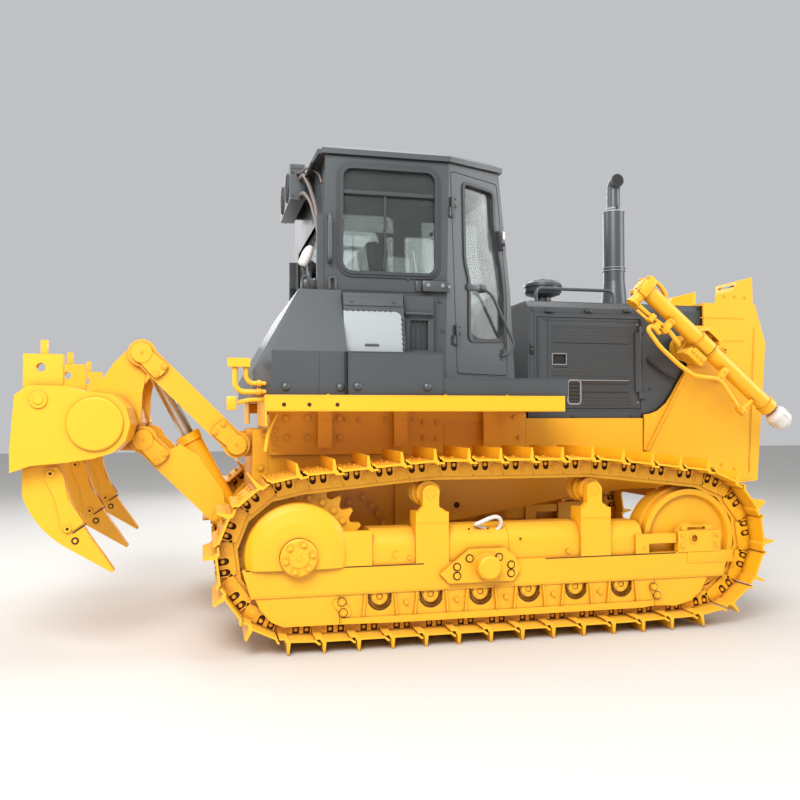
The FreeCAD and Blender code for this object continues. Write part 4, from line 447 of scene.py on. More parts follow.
def plain_material(name, colour, roughness, metallic=0.0, **sockets):
    """Material with a principled shader and constant values."""
    material = bpy.data.materials.new(name)
    material.use_nodes = True
    shader = material.node_tree.nodes["Principled BSDF"]
    shader.inputs["Base Color"].default_value = (*colour, 1)
    shader.inputs["Roughness"].default_value = roughness
    shader.inputs["Metallic"].default_value = metallic
    for key, value in sockets.items():
        shader.inputs[key.replace("_", " ")].default_value = value
    material.diffuse_color = (*colour, 1)
    return material


def weathered_and_shaded_material(name, group, colour, settings, dust, spread, roughness, bump, **sockets):
    """Painted material whose colour, roughness and relief come from the shared group."""
    material = plain_material(name, colour, roughness, **sockets)
    tree = material.node_tree
    shader = tree.nodes["Principled BSDF"]
    paint = tree.nodes.new("ShaderNodeGroup")
    paint.node_tree = group
    paint.inputs["Paint"].default_value = (*colour, 1)
    paint.inputs["Dust"].default_value = (*settings.dust, 1)
    paint.inputs["Dust amount"].default_value = dust
    paint.inputs["Tone spread"].default_value = spread
    paint.inputs["Base roughness"].default_value = roughness
    relief = tree.nodes.new("ShaderNodeBump")
    relief.inputs["Strength"].default_value = bump
    relief.inputs["Distance"].default_value = 0.001
    tree.links.new(paint.outputs["Colour"], shader.inputs["Base Color"])
    tree.links.new(paint.outputs["Roughness"], shader.inputs["Roughness"])
    tree.links.new(paint.outputs["Height"], relief.inputs["Height"])
    tree.links.new(relief.outputs["Normal"], shader.inputs["Normal"])
    return material


class DOZER_OT_finishes(bpy.types.Operator):
    """Mix the paints, rubber, chrome, film and glass, and paint the frame's nodes"""

    bl_idname = "dozer.finishes"
    bl_label = "Finishes"

    def execute(self, context):
        paint = context.scene.dozer_paint
        group = weathered_and_shaded_group()
        weathered_and_shaded_material("yellow enamel", group, paint.yellow, paint, paint.dust_amount, 0.14, 0.36, 0.10,
                           Coat_Weight=0.08, Coat_Roughness=0.15)
        weathered_and_shaded_material("grey enamel", group, paint.grey, paint, paint.dust_amount * 0.7, 0.16, 0.30, 0.08,
                           Coat_Weight=0.20, Coat_Roughness=0.15)
        weathered_and_shaded_material("cast iron", group, paint.iron, paint, 0.10, 0.3, 0.62, 0.4)
        weathered_and_shaded_material("black rubber", group, paint.black, paint, 0.05, 0.2, 0.55, 0.3)
        weathered_and_shaded_material("packing film", group, paint.film, paint, 0.02, 0.14, 0.30, 1.0)
        weathered_and_shaded_material("grey hose", group, (0.20, 0.165, 0.15), paint, 0.05, 0.25, 0.5, 0.3)
        # Dark brown backing for nut windows and holes: painted shade, with some grime
        weathered_and_shaded_material("dark pocket", group, (0.060, 0.020, 0.004), paint, 0.02, 0.2, 0.8, 0.2)
        weathered_and_shaded_material("pale panel", group, (0.34, 0.37, 0.38), paint, 0.05, 0.10, 0.35, 0.08)
        weathered_and_shaded_material("dark grey enamel", group, (0.045, 0.050, 0.054), paint, 0.05, 0.16, 0.35, 0.08)
        weathered_and_shaded_material("seat cloth", group, (0.030, 0.032, 0.036), paint, 0.02, 0.25, 0.78, 0.9)
        weathered_and_shaded_material("bright steel", group, (0.62, 0.60, 0.57), paint, 0.02, 0.10, 0.26, 0.1, metallic=1.0)
        weathered_and_shaded_material("lamp lens", group, (0.80, 0.82, 0.84), paint, 0.0, 0.05, 0.08, 0.4,
                           Coat_Weight=0.8)
        glass = plain_material("window glass", paint.glass, 0.03, Transmission_Weight=0.85, IOR=1.45)
        glass.node_tree.nodes["Principled BSDF"].inputs["Alpha"].default_value = 0.72
        by_slot = {"yellow_paint": "yellow enamel", "grey_paint": "grey enamel", "engine_iron": "cast iron",
                   "black_trim": "black rubber", "rod_chrome": "bright steel", "white_wrap": "packing film",
                   "window_glass": "window glass"}
        for row in frame["record"]["subparts"]:
            node = NODES[row["node"]]
            node.data.materials.clear()
            node.data.materials.append(bpy.data.materials[by_slot[row["material_slot"]]])
        return {"FINISHED"}


# Tracks and undercarriage


def link_place(k, y, out=-1.0):
    """Place at a chain pin: X runs to the next pin and Y into the loop."""
    x, z = PINS[k]
    nx, nz = PINS[(k + 1) % len(PINS)]
    return facing((x, y, z), (0, out, 0), (-(nz - z), 0, nx - x))


def link_mesh(nut):
    """Cheek of one link with its two nut windows, pin boss and nuts."""
    part = bmesh.new()
    outline = [(-40, -60)]
    for middle in NUT_ROWS:
        outline += [(middle - 21, -60), (middle - 21, -14), (middle - 14, -1), (middle, 5), (middle + 14, -1),
                    (middle + 21, -14), (middle + 21, -60)]
    outline += [(171, -60), (171, 10), (158, 38), (-52, 38), (-46, 4)]
    add_plate(part, Matrix.Identity(4), outline, 13)
    add_round(part, Matrix.Identity(4), 41, 17, 38, sides=18)
    add_round(part, Matrix.Identity(4), 24, 20, 22, sides=12)
    for middle in NUT_ROWS:
        add_round(part, shifted(Matrix.Identity(4), middle, -36), nut * 1.15, 12, nut * 0.8, sides=12)
    return part


class DOZER_OT_links(bpy.types.Operator):
    """Add the link cheeks with their nut windows, backed with painted shade, to both chains"""

    bl_idname = "dozer.links"
    bl_label = "Track links"

    def execute(self, context):
        nut = context.scene.dozer_fasteners.shoe_bolt / MM
        cheeks, pocket_shade = bmesh.new(), bmesh.new()
        pocket_shade_patches = bmesh.new()
        # Dark patch at the back of each nut window: painted shade standing in for its depth, with some grime
        for middle in NUT_ROWS:
            add_block(pocket_shade_patches, shifted(Matrix.Identity(4), middle, -28), (42, 66, 1.2))
        across = Matrix.Translation((0, -2 * TRACK_Y * MM, 0)) @ Matrix.Scale(-1, 4, (0, 1, 0))
        places = [link_place(k, -TRACK_Y - 120) for k in range(len(PINS))]
        places += [across @ place for place in places]
        place_part(cheeks, link_mesh(nut), *places)
        place_part(pocket_shade, pocket_shade_patches, *places)
        make_piece("link_cheeks", both_sides(cheeks), "yellow enamel")
        make_piece("link_pocket_shade", both_sides(pocket_shade), "dark pocket")
        return {"FINISHED"}


class DOZER_OT_shoe_bolts(bpy.types.Operator):
    """Add the four bolt heads on each track shoe"""

    bl_idname = "dozer.shoe_bolts"
    bl_label = "Shoe bolts"

    def execute(self, context):
        radius = context.scene.dozer_fasteners.shoe_bolt / MM
        bm = bmesh.new()
        for k, (x, z) in enumerate(PINS):
            nx, nz = PINS[(k + 1) % len(PINS)]
            ax, az = (nx - x) / PITCH, (nz - z) / PITCH
            for along in NUT_ROWS:
                at = (x + ax * along + az * 78, z + az * along - ax * 78)
                for y in (-TRACK_Y - 95, -TRACK_Y + 95):
                    add_round(bm, facing((at[0], y, at[1]), (az, 0, -ax), (ax, 0, az)), radius, 11,
                              radius * 0.9, sides=6)
        make_piece("shoe_bolts", both_sides(bm), "yellow enamel")
        return {"FINISHED"}


class DOZER_OT_wheels(bpy.types.Operator):
    """Add bolts and caps to the sprockets, idlers and rollers"""

    bl_idname = "dozer.wheels"
    bl_label = "Wheel details"

    def execute(self, context):
        sizes = context.scene.dozer_fasteners
        bolt, small = sizes.frame_bolt / MM, sizes.small_bolt / MM
        bm = bmesh.new()
        cap = facing((SPROCKET[0], -1250, SPROCKET[1]))
        for k in range(6):
            turn = math.radians(12 + 60 * k)
            add_bolt(bm, around(cap, 86, turn), bolt, turn)
        add_round(bm, cap, 66, 5, 60, sides=28)
        add_round(bm, cap, 18, 10, 15, sides=12)
        for k in range(25):
            turn = math.radians(14.4 * k + 4)
            at = (SPROCKET[0] + 360 * math.cos(turn), -1030, SPROCKET[1] + 360 * math.sin(turn))
            add_bolt(bm, facing(at), 20, turn)
        for x, z in ((-98, 626), (-98, 556), (172, 626), (172, 556)):
            add_bolt(bm, facing((IDLER[0] + x, -1188, z)), bolt * 0.8)
        for x in (-126, 150):
            block = facing((IDLER[0] + x + 28, -1186, 592))
            add_block(bm, block, (56, 126, 6), 3)
        add_ring(bm, facing((IDLER[0], -1188, 602)), 24, 36, 4, 20)
        for x in ROLLER_XS:
            hub = facing((x, -1158, ROLLER_Z))
            add_ring(bm, hub, 22, 50, 9, 24)
            add_round(bm, hub, 20, 5, 16, sides=14)
            for k in range(4):
                turn = math.radians(45 + 90 * k)
                add_round(bm, around(hub, 37, turn, 9), small * 0.8, 5, sides=6)
        for x in ROLLER_XS[:-1]:
            add_round(bm, facing((x + 168.8, -1174, 268)), 15, 22, 12, sides=14)
        for x in CARRIER_XS:
            head = facing((x, -1180, CARRIER_Z))
            add_ring(bm, head, 30, 34, 2, 24)
            add_round(bm, head, 5, 3, sides=8)
            for dx in (-62, 78):
                add_block(bm, level((x + dx, -1150, 835)), (40, 30, 16), 3)
                add_bolt(bm, facing((x + dx, -1150, 851), (0, 0, 1)), small)
        make_piece("wheel_bolts", both_sides(bm), "yellow enamel")
        return {"FINISHED"}


class DOZER_OT_frames(bpy.types.Operator):
    """Add bolts, link plates, weld marks, holes, and painted shade round bolts and under the roller windows to the
    track frames
    """

    bl_idname = "dozer.frames"
    bl_label = "Track frame details"

    def execute(self, context):
        bolt = context.scene.dozer_fasteners.frame_bolt / MM
        bm, shade_marks = bmesh.new(), bmesh.new()
        # Dark discs round these bolts are painted shade
        for x, z in ((-35, 480), (-35, 422), (50, 532), (253, 533), (336, 480), (336, 425)):
            add_round(shade_marks, facing((x, -1206.4, z)), bolt * 1.65, 1.4, sides=20)
            add_round(bm, facing((x, -1206.4, z)), bolt * 1.2, 9, bolt * 1.1, sides=16)
        for points in (((-840, 300), (-800, 312), (-725, 240), (-735, 196), (-775, 196), (-838, 268)),
                       ((1360, 300), (1408, 306), (1462, 232), (1450, 192), (1410, 196), (1358, 264))):
            add_plate(bm, facing((0, -1174.5, 0)), points, 10, 14)
        # Dark rings round these bolts are painted shade
        for x, z in ((-785, 289), (-776, 222), (1385, 279), (1412, 222)):
            add_round(shade_marks, facing((x, -1184.5, z)), bolt * 1.7, 1.2, sides=20)
            add_bolt(bm, facing((x, -1184.5, z)), bolt)
        for x in (-640, -430):
            arc = [(x + 24 * math.cos(a), -1166, 570 + 24 * math.sin(a))
                   for a in (math.radians(60 + 30 * k) for k in range(8))]
            add_tube(bm, arc, 4, sides=6)
        add_bolt(bm, facing((1330, -1166, 545)), bolt * 0.9)
        for x0, x1 in ((-1380, -250), (590, 1560)):
            add_plate(shade_marks, facing((0, -BEAM_SIDE, 0)), rect(x0, 502, x1, 509), 1)
        for x in (-594, -342, 760, 1010):
            add_bolt(bm, facing((x, -1165, 545)), bolt * 0.7)
        # Dark crescents round the lower half of each roller window are painted shadow
        for x in ROLLER_XS:
            lower = [(x + 76 * math.cos(a), -1175, 302 + 76 * math.sin(a))
                     for a in (math.radians(195 + 15 * k) for k in range(11))]
            add_tube(shade_marks, lower, 4, sides=6)
        add_plate(bm, facing((0, -BEAM_SIDE, 0)), rect(-1348, 336, 1935, 342), 3)
        for x in CARRIER_XS:
            add_plate(bm, facing((0, -BEAM_SIDE, 0)), rect(x - 101, 764, x + 119, 768), 2)
        add_block(bm, facing((1830, -1176, 470)), (360, 84, 8), 3)
        make_piece("frame_bolts", both_sides(bm), "yellow enamel")
        for x, z in ((60, 715), (190, 716), (420, 640)):
            add_round(shade_marks, facing((x, -1160, z), (0, -1, 0.3)), 6, 12, sides=10)
        make_piece("frame_shade_marks", both_sides(shade_marks), "dark pocket")
        loop = bmesh.new()
        ring = [(200 + 96 * math.cos(a), -1130 - 26 * math.sin(a), 742 + 38 * math.sin(a) + 18 * math.sin(2 * a))
                for a in (math.radians(-150 + 20 * k) for k in range(16))]
        add_tube(loop, [(150, -1140, 742)] + ring, 14, 20, 10)
        make_piece("wrapped_loop", loop, "packing film", sharp=60)
        return {"FINISHED"}


# Hull, fenders, tank and consoles


class DOZER_OT_hull(bpy.types.Operator):
    """Add bolts, covers and holes, filled with painted shade, to the hull's walls"""

    bl_idname = "dozer.hull"
    bl_label = "Hull details"

    def execute(self, context):
        bolt = context.scene.dozer_fasteners.hull_bolt / MM
        bm, shade_marks = bmesh.new(), bmesh.new()
        for x, z, size in ((-1081, 1443, 1.3), (-932, 1445, 1.3), (-704, 1442, 1.3), (-654, 1433, 0.9),
                           (-565, 1433, 0.9), (-369, 1435, 0.9), (-168, 1435, 0.9), (-1076, 1311, 1.2),
                           (-932, 1310, 1.2), (-702, 1309, 1.2), (-1153, 1363, 0.9), (-1153, 1300, 0.9),
                           (-1153, 1239, 0.9), (-1153, 1430, 0.9), (-92, 1415, 1.0), (7, 1415, 1.0), (-92, 1300, 1.0),
                           (7, 1300, 1.0), (384, 1380, 1.0), (600, 1450, 0.9), (640, 1300, 0.9)):
            add_bolt(bm, facing((x, -HULL_PANEL_HALF, z)), bolt * size, x)
        for x, z in ((-631, 850), (-531, 885), (-468, 827), (-425, 768), (-385, 700)):
            add_bolt(bm, facing((x, -560, z)), 24)
        add_plate(bm, facing((0, -HULL_PANEL_HALF, 0)), rect(60, 1210, 372, 1408), 3, 26, 5)
        add_plate(bm, facing((0, -HULL_PANEL_HALF, 0)), rect(-1175, 1215, -1168, 1465), 4)
        for x in (-823, -283):
            add_plate(bm, facing((0, -670, 0)), rect(x - 44, 1430, x + 54, 1436), 2)
        make_piece("hull_bolts", both_sides(bm), "yellow enamel")
        # Dark discs in the holes are painted shade
        add_round(shade_marks, facing((159, -580.2, 812)), 22, 2, sides=18)
        for x in (-1157, -1002, -828):
            add_round(shade_marks, facing((x, -1280.2, 1528)), 13, 1.4, sides=14)
        for x in (-1240, 640):
            for z in (640, 700):
                add_round(shade_marks, facing((x, -580.2, z)) if x > 0 else facing((x, -560.2, z)), 5, 1, sides=8)
        make_piece("hull_hole_shade", both_sides(shade_marks), "dark pocket")
        return {"FINISHED"}


class DOZER_OT_tread(bpy.types.Operator):
    """Add the raised tread buttons of the steps and the skirt's turned lower edge"""

    bl_idname = "dozer.tread"
    bl_label = "Steps and fender edges"

    def execute(self, context):
        bm, edge = bmesh.new(), bmesh.new()
        button = bmesh.new()
        add_round(button, Matrix.Identity(4), 13, 4, 8, sides=6)
        places = []
        for row in range(14):
            for column in range(4):
                at = (-85 + row * 60 + (30 if column % 2 else 0), -980 - column * 65, 1705)
                places.append(level(at))
        place_part(bm, button, *places)
        make_piece("step_buttons", both_sides(bm), "grey enamel")
        add_plate(edge, facing((0, -1280, 0)), rect(-1270, 1488, 690, 1493), 2)
        add_tube(edge, ((-1272, -1278, 1584), (692, -1278, 1584)), 4, sides=8)
        for x in (-880, -120, 300):
            add_bolt(edge, facing((x, -1240, 1585), (0, 0, 1)), 11)
        make_piece("fender_edges", both_sides(edge), "yellow enamel")
        return {"FINISHED"}


class DOZER_OT_tank(bpy.types.Operator):
    """Add caps, plugs and seams to the tank and the side consoles"""

    bl_idname = "dozer.tank"
    bl_label = "Tank and consoles"

    def execute(self, context):
        small = context.scene.dozer_fasteners.small_bolt / MM
        bm, seams = bmesh.new(), bmesh.new()
        for x, y, z in ((-1140, -1200, 1640), (-797, -1200, 1637), (-693, -1230, 1643), (-238, -1230, 1643)):
            add_lathe(bm, facing((x, y, z)), ((0, 0), (0, 24), (8, 24), (15, 16), (18, 0)), 20)
        add_plate(seams, facing((0, -1200, 0)), rect(-932, 1586, -930, 1865), 0.5)
        add_plate(seams, facing((0, -1200, 0)), rect(-772, 1586, -756, 1865), 1)
        add_plate(bm, facing((0, -1230, 0)), rect(-748, 1588, -130, 1862), 2, 10, 3)
        add_plate(bm, facing((0, -1229, 0)), rect(-126, 1590, 733, 1702), 2.5, 6, 4)
        panel = facing((0, -1120, BOX_TOP), CONSOLE_OUT)
        pale = bmesh.new()
        add_plate(pale, panel, ((-756, 4), (-372, 4), (-372, 240), (-380, 262), (-396, 274), (-414, 280),
                                (-756, 280)), 7)
        make_piece("console_panels", both_sides(pale), "pale panel")
        add_plate(bm, panel, rect(-752, 10, -352, 300), 5, 60, 26)
        for k in range(9):
            add_bolt(bm, shifted(panel, -730 + k * 36, 287, 5), small)
        for k in range(7):
            add_bolt(bm, shifted(panel, -365, 30 + k * 33, 5), small)
        add_plate(seams, panel, rect(-748, 14, -746, 286), 2)
        add_round(seams, shifted(panel, -578, 97), 22, 2, sides=20)
        add_plate(bm, panel, rect(-622, 44, -532, 56), 14)
        add_plate(bm, panel, rect(-752, 318, -356, 372), 6, 8)
        for x in (-700, -420):
            add_bolt(bm, shifted(panel, x, 345, 6), small)
        for y, x in ((-620, -920), (620, -920)):
            add_lathe(bm, facing((x, y, 2290), (0, 0, 1)),
                      ((0, 0), (0, 52), (22, 52), (22, 44), (34, 40), (36, 0)), 28)
        for x in (-150, -300):
            add_bolt(bm, facing((x, -985, 2120)), small)
        add_tube(bm, ((-330, -972, 2140), (-330, -1010, 2140), (-140, -1010, 2140), (-140, -972, 2140)), 9, 14)
        make_piece("tank_fittings", both_sides(bm), "grey enamel")
        for k in range(5):
            add_plate(seams, facing((0, -985.5, 0)), rect(-325 + k * 34, 1905, -318 + k * 34, 2095), 1)
        make_piece("tank_seams", both_sides(seams), "black rubber")
        return {"FINISHED"}


# Cab


class DOZER_OT_cab(bpy.types.Operator):
    """Add window rims, wipers, lamps, catch boxes and the roof's seams to the cab"""

    bl_idname = "dozer.cab"
    bl_label = "Cab trim"

    def execute(self, context):
        small = context.scene.dozer_fasteners.small_bolt / MM
        rims, fittings, rubber, steel = bmesh.new(), bmesh.new(), bmesh.new(), bmesh.new()
        wall = facing((0, -CAB_HALF, 0))
        wide = rect(-775, 2387, -62, 3154)
        add_plate(rims, wall, wide, 9, 96, 34)
        add_plate(rims, shifted(wall, 0, 0, -6), rect(-757, 2405, -80, 3136), 22, 82, 22)
        add_plate(rims, shifted(wall, 0, 0, -30), rect(-735, 2946, -100, 2972), 30)
        add_plate(rims, shifted(wall, 0, 0, -22), rect(-453, 2425, -436, 2948), 14)
        add_plate(rubber, shifted(wall, 0, 0, -20), rect(-738, 2940, -98, 2946), 14)
        add_round(rubber, shifted(wall, -120, 2700, -20), 12, 14, sides=14)
        rear = facing((-855, 0, 0), (-1, 0, 0))
        add_plate(rims, rear, rect(-585, 2332, 585, 2815), 8, 70, 30)
        front = facing((532.5, 0, 2345), (1, 0, 0.126))
        add_plate(rims, front, rect(-592, -8, 592, 782), 8, 74, 30)
        add_plate(rims, front, rect(-14, 10, 14, 770), 4)
        for side in (-1, 1):
            add_round(rubber, shifted(front, side * 330, -32), 17, 26, sides=16)
            add_tube(rubber, [front @ Vector(p) / MM for p in ((side * 0.33, -0.032, 0.022),
                                                               (side * 0.25, 0.30, 0.024))], 5)
            add_tube(rubber, [front @ Vector(p) / MM for p in ((side * 0.39, 0.22, 0.018),
                                                               (side * 0.13, 0.42, 0.018))], 7)
        catch = facing((-100, -CAB_HALF, 2337))
        add_block(fittings, catch, (190, 74, 40), 8)
        for dx in (-58, 44):
            add_bolt(steel, shifted(catch, dx, 6, 40), small * 1.2)
        add_block(fittings, shifted(catch, -116, 0), (42, 70, 14), 3)
        add_round(steel, shifted(catch, 88, 0, 12), 14, 34, 10, sides=14)
        for x, z in ((-66, 2240), (-42, 2040), (-50, 1900), (-290, 2385)):
            add_bolt(fittings, facing((x, -CAB_HALF, z)), small * 1.2)
        add_plate(fittings, wall, rect(-740, 2296, -60, 2302), 5)
        add_plate(rubber, facing((0, -937, 0)), rect(-845, 3196, -2, 3200), 3)
        for side in (-1, 1):
            lamp = facing((-905, side * 610, 2480), (-1, 0, -0.15))
            add_lathe(fittings, lamp, ((-40, 0), (-40, 34), (-10, 62), (12, 66), (12, 60), (2, 56), (2, 0)), 24)
            add_tube(fittings, ((-880, side * 610, 2470), (-870, side * 610, 2400), (-856, side * 610, 2380)), 8)
        both_sides(rubber)
        make_piece("window_rims", both_sides(rims), "dark grey enamel")
        make_piece("cab_rubber", rubber, "black rubber")
        hatch = level((-240, 0, 3275))
        roof = bmesh.new()
        add_plate(roof, hatch, rect(-310, -260, 310, 260), 9, 60)
        add_plate(roof, hatch, rect(-330, -280, 330, 280), 4, 70, 8)
        for y in (-520, 520):
            add_plate(roof, hatch, rect(y - 14, -430, y + 14, 560), 5, 12)
        for y, x in ((-330, -700), (330, -700), (-330, 180), (330, 180)):
            add_ring(roof, facing((x, y, 3275), (0, 1, 0), (0, 0, 1)), 12, 24, 14, 16)
        make_piece("roof_plates", roof, "grey enamel")
        make_piece("cab_fittings", both_sides(fittings), "grey enamel")
        make_piece("catch_bolts", both_sides(steel), "bright steel")
        return {"FINISHED"}


DOOR_WINDOW = ((196, 270), (546, 292), (539, 646), (506, 832), (429, 1116), (416, 1368), (115, 1391), (141, 836),
               (187, 692))


class DOZER_OT_cab_doors(bpy.types.Operator):
    """Add window rims, grab rails, catches and handles to the cab doors"""

    bl_idname = "dozer.cab_doors"
    bl_label = "Cab door trim"

    def execute(self, context):
        small = context.scene.dozer_fasteners.small_bolt / MM
        for side in ("right", "left"):
            rim, trim, steel, rubber = bmesh.new(), bmesh.new(), bmesh.new(), bmesh.new()
            add_plate(rim, DOOR_PLACE, DOOR_WINDOW, 10, 46, 20)
            add_plate(rim, DOOR_PLACE, ((102, 46), (108, 46), (18, 1436), (12, 1436)), 2)
            add_plate(rim, DOOR_PLACE, ((104, 42), (570, 40), (570, 46), (104, 48)), 2)
            rail = [on_door(*p) for p in ((296, 652, 2), (306, 648, 40), (374, 616, 44), (600, 280, 44),
                                          (540, 204, 44), (515, 190, 2))]
            add_tube(trim, rail, 11, 34)
            for across, up in ((515, 232), (520, 170), (300, 682), (296, 632)):
                add_bolt(trim, shifted(DOOR_PLACE, across, up), small)
            add_block(trim, shifted(DOOR_PLACE, 244, 655), (150, 44, 16), 5)
            add_round(trim, shifted(DOOR_PLACE, 318, 655, 10), 30, 14, 26, sides=16)
            add_block(steel, shifted(DOOR_PLACE, 470, 1050, 40), (26, 60, 14), 4)
            add_round(rubber, shifted(DOOR_PLACE, 474, 985, 46), 14, 8, sides=14)
            for up in (240, 1120):
                for step in (14, 56, 86, 128):
                    line = 104 - 92 * (up + 70 - 50) / 1387
                    across = line + (24 if step > 70 else -22)
                    add_bolt(trim, shifted(DOOR_PLACE, across, up + step, 14), small * 0.8)
            make_sided(side, "cab_door", (("door_rim", rim, "dark grey enamel", "grey_paint"),
                                          ("door_rail", trim, "grey enamel", "grey_paint"),
                                          ("door_latch", steel, "bright steel", "rod_chrome"),
                                          ("door_lock", rubber, "black rubber", "black_trim")))
        return {"FINISHED"}


class DOZER_OT_cooler(bpy.types.Operator):
    """Add louvres, fans, brackets and hoses to the cooling unit behind the roof"""

    bl_idname = "dozer.cooler"
    bl_label = "Cooling unit"

    def execute(self, context):
        small = context.scene.dozer_fasteners.small_bolt / MM
        bm, dark, hose = bmesh.new(), bmesh.new(), bmesh.new()
        back = facing((-1030, 0, 3156), (-1, 0, 0))
        for y in (-185, 185):
            spot = shifted(back, y, 0)
            add_round(dark, spot, 104, 1.5, sides=36)
            for radius in (36, 70, 104):
                add_ring(bm, spot, radius - 4, radius + 4, 7, 36)
            for turn in range(4):
                bar = spot @ Matrix.Rotation(math.radians(45 * turn), 4, "Z")
                add_block(bm, bar, (208, 7, 6))
        for y in (-1, 1):
            side = facing((COOLER_MIDDLE_X, y * COOLER_HALF, 3156), (0, y, 0))
            add_plate(bm, side, rect(-50, 96, 50, 104), 3)
            for dx, dz in ((40, 70), (40, -100), (-36, 70), (-36, -100)):
                add_bolt(bm, shifted(side, dx, dz), small)
            add_tube(bm, ((COOLER_MIDDLE_X, y * 380, 3210), (COOLER_MIDDLE_X, y * 412, 3210),
                          (-925, y * 412, 3214)), 8, 10)
        make_piece("cooler_louvres", bm, "dark grey enamel")
        make_piece("cooler_fans", dark, "black rubber")
        add_tube(hose, ((-960, -372, 3180), (-950, -520, 3175), (-920, -640, 3050), (-890, -720, 2900),
                        (-880, -760, 2780), (-880, -820, 2740)), 13, 60)
        add_tube(hose, ((-960, -372, 3060), (-950, -540, 3040), (-915, -660, 2940), (-895, -740, 2800),
                        (-884, -800, 2700)), 12, 60)
        add_tube(hose, ((-950, -372, 3220), (-930, -560, 3215), (-895, -680, 3160), (-870, -760, 3110),
                        (-858, -800, 3040)), 9, 60)
        make_piece("cooler_hoses", hose, "grey hose", sharp=60)
        lamp, boxes = bmesh.new(), bmesh.new()
        add_lathe(lamp, facing((-1000, -840, 2462), (0.42, -0.1, 0.9)),
                  ((0, 0), (0, 22), (16, 33), (86, 36), (126, 28), (146, 14), (150, 0)), 18)
        make_piece("wrapped_lamp", lamp, "packing film", sharp=60)
        add_block(boxes, level((-955, -840, 2292)), (70, 96, 76), 6)
        add_tube(boxes, ((-968, -830, 2368), (-1000, -838, 2468)), 9)
        for x in (-1000, -900):
            add_tube(boxes, ((x, -880, 2290), (x, -880, 2380), (x + 40, -880, 2392),
                             (x + 40, -880, 2290)), 8, 16)
        add_tube(boxes, ((-830, -940, 2296), (-830, -940, 2370), (-790, -940, 2380), (-790, -940, 2296)), 10, 18)
        make_piece("lamp_brackets", boxes, "grey enamel")
        return {"FINISHED"}


# Inside the cab


def cushion_shape(name, place, size, finish, plump=0.35, lines=3):
    """Stuffed pad: a block with rounded edges, a full middle and shallow stitched grooves."""
    bm = bmesh.new()
    scale = Matrix.Diagonal((*(v * MM for v in size), 1))
    bmesh.ops.create_cube(bm, size=1, matrix=Matrix.Translation((0, 0, size[2] * MM / 2)) @ scale)
    bmesh.ops.subdivide_edges(bm, edges=list(bm.edges), cuts=13, use_grid_fill=True)
    for vert in bm.verts:
        u, v = vert.co.x / (size[0] * MM / 2), vert.co.y / (size[1] * MM / 2)
        full = (1 - u ** 4) * (1 - v ** 4)
        groove = min(abs(math.sin(math.pi * lines * (v + 1) / 2)) * 3, 1)
        height = vert.co.z / (size[2] * MM)
        vert.co.z += (full * plump - (1 - groove) * 0.10) * size[2] * MM * max(height - 0.4, 0)
    for factor in (0.6, 0.5):
        bmesh.ops.smooth_vert(bm, verts=list(bm.verts), factor=factor, use_axis_x=True, use_axis_y=True,
                              use_axis_z=True)
    bmesh.ops.transform(bm, matrix=place, verts=list(bm.verts))
    return make_piece(name, bm, finish, sharp=80)


class DOZER_OT_seat(bpy.types.Operator):
    """Add the padded seat with its armrests, and the levers and dials"""

    bl_idname = "dozer.seat"
    bl_label = "Seat and controls"

    def execute(self, context):
        base = cushion_shape("seat_cushion", level((-170, 0, 2134)), (500, 480, 84),
                             "seat cloth")
        back = cushion_shape("seat_back", facing((-395, 0, 2520), (0.989, 0, 0.145), (0, 0, 1)), (480, 520, 84),
                             "seat cloth")
        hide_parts("operator_seat")
        trim, dials = bmesh.new(), bmesh.new()
        for y in (-370, 370):
            add_block(trim, level((-200, y, 2330)), (110, 330, 34), 12)
            add_lathe(trim, facing((130, y, 2520), (0.2, 0, 1)), ((0, 0), (0, 20), (26, 27), (60, 24), (74, 12),
                                                                   (76, 0)), 18)
            for dx in (40, 80):
                add_lathe(trim, facing((dx - 60, y, 2330), (0, 0, 1)), ((0, 0), (0, 14), (60, 8), (66, 13),
                                                                        (86, 13), (92, 0)), 14)
        panel = facing((320, 0, 2240), (-0.6, 0, 0.8), (0, 1, 0))
        for y, radius in ((-150, 30), (-70, 30), (10, 42), (100, 30)):
            add_ring(trim, shifted(panel, 0, y, 2), radius - 4, radius + 3, 8, 24)
            add_round(dials, shifted(panel, 0, y, 2), radius - 4, 3, sides=24)
        for y in (-180, 180):
            add_block(trim, facing((330, y, 1746), (-0.7, 0, 0.7), (0, 1, 0)), (150, 90, 16), 5)
        make_piece("cab_levers", trim, "black rubber")
        make_piece("cab_dials", dials, "packing film")
        return {"FINISHED"}


# Hood, nose and exhaust


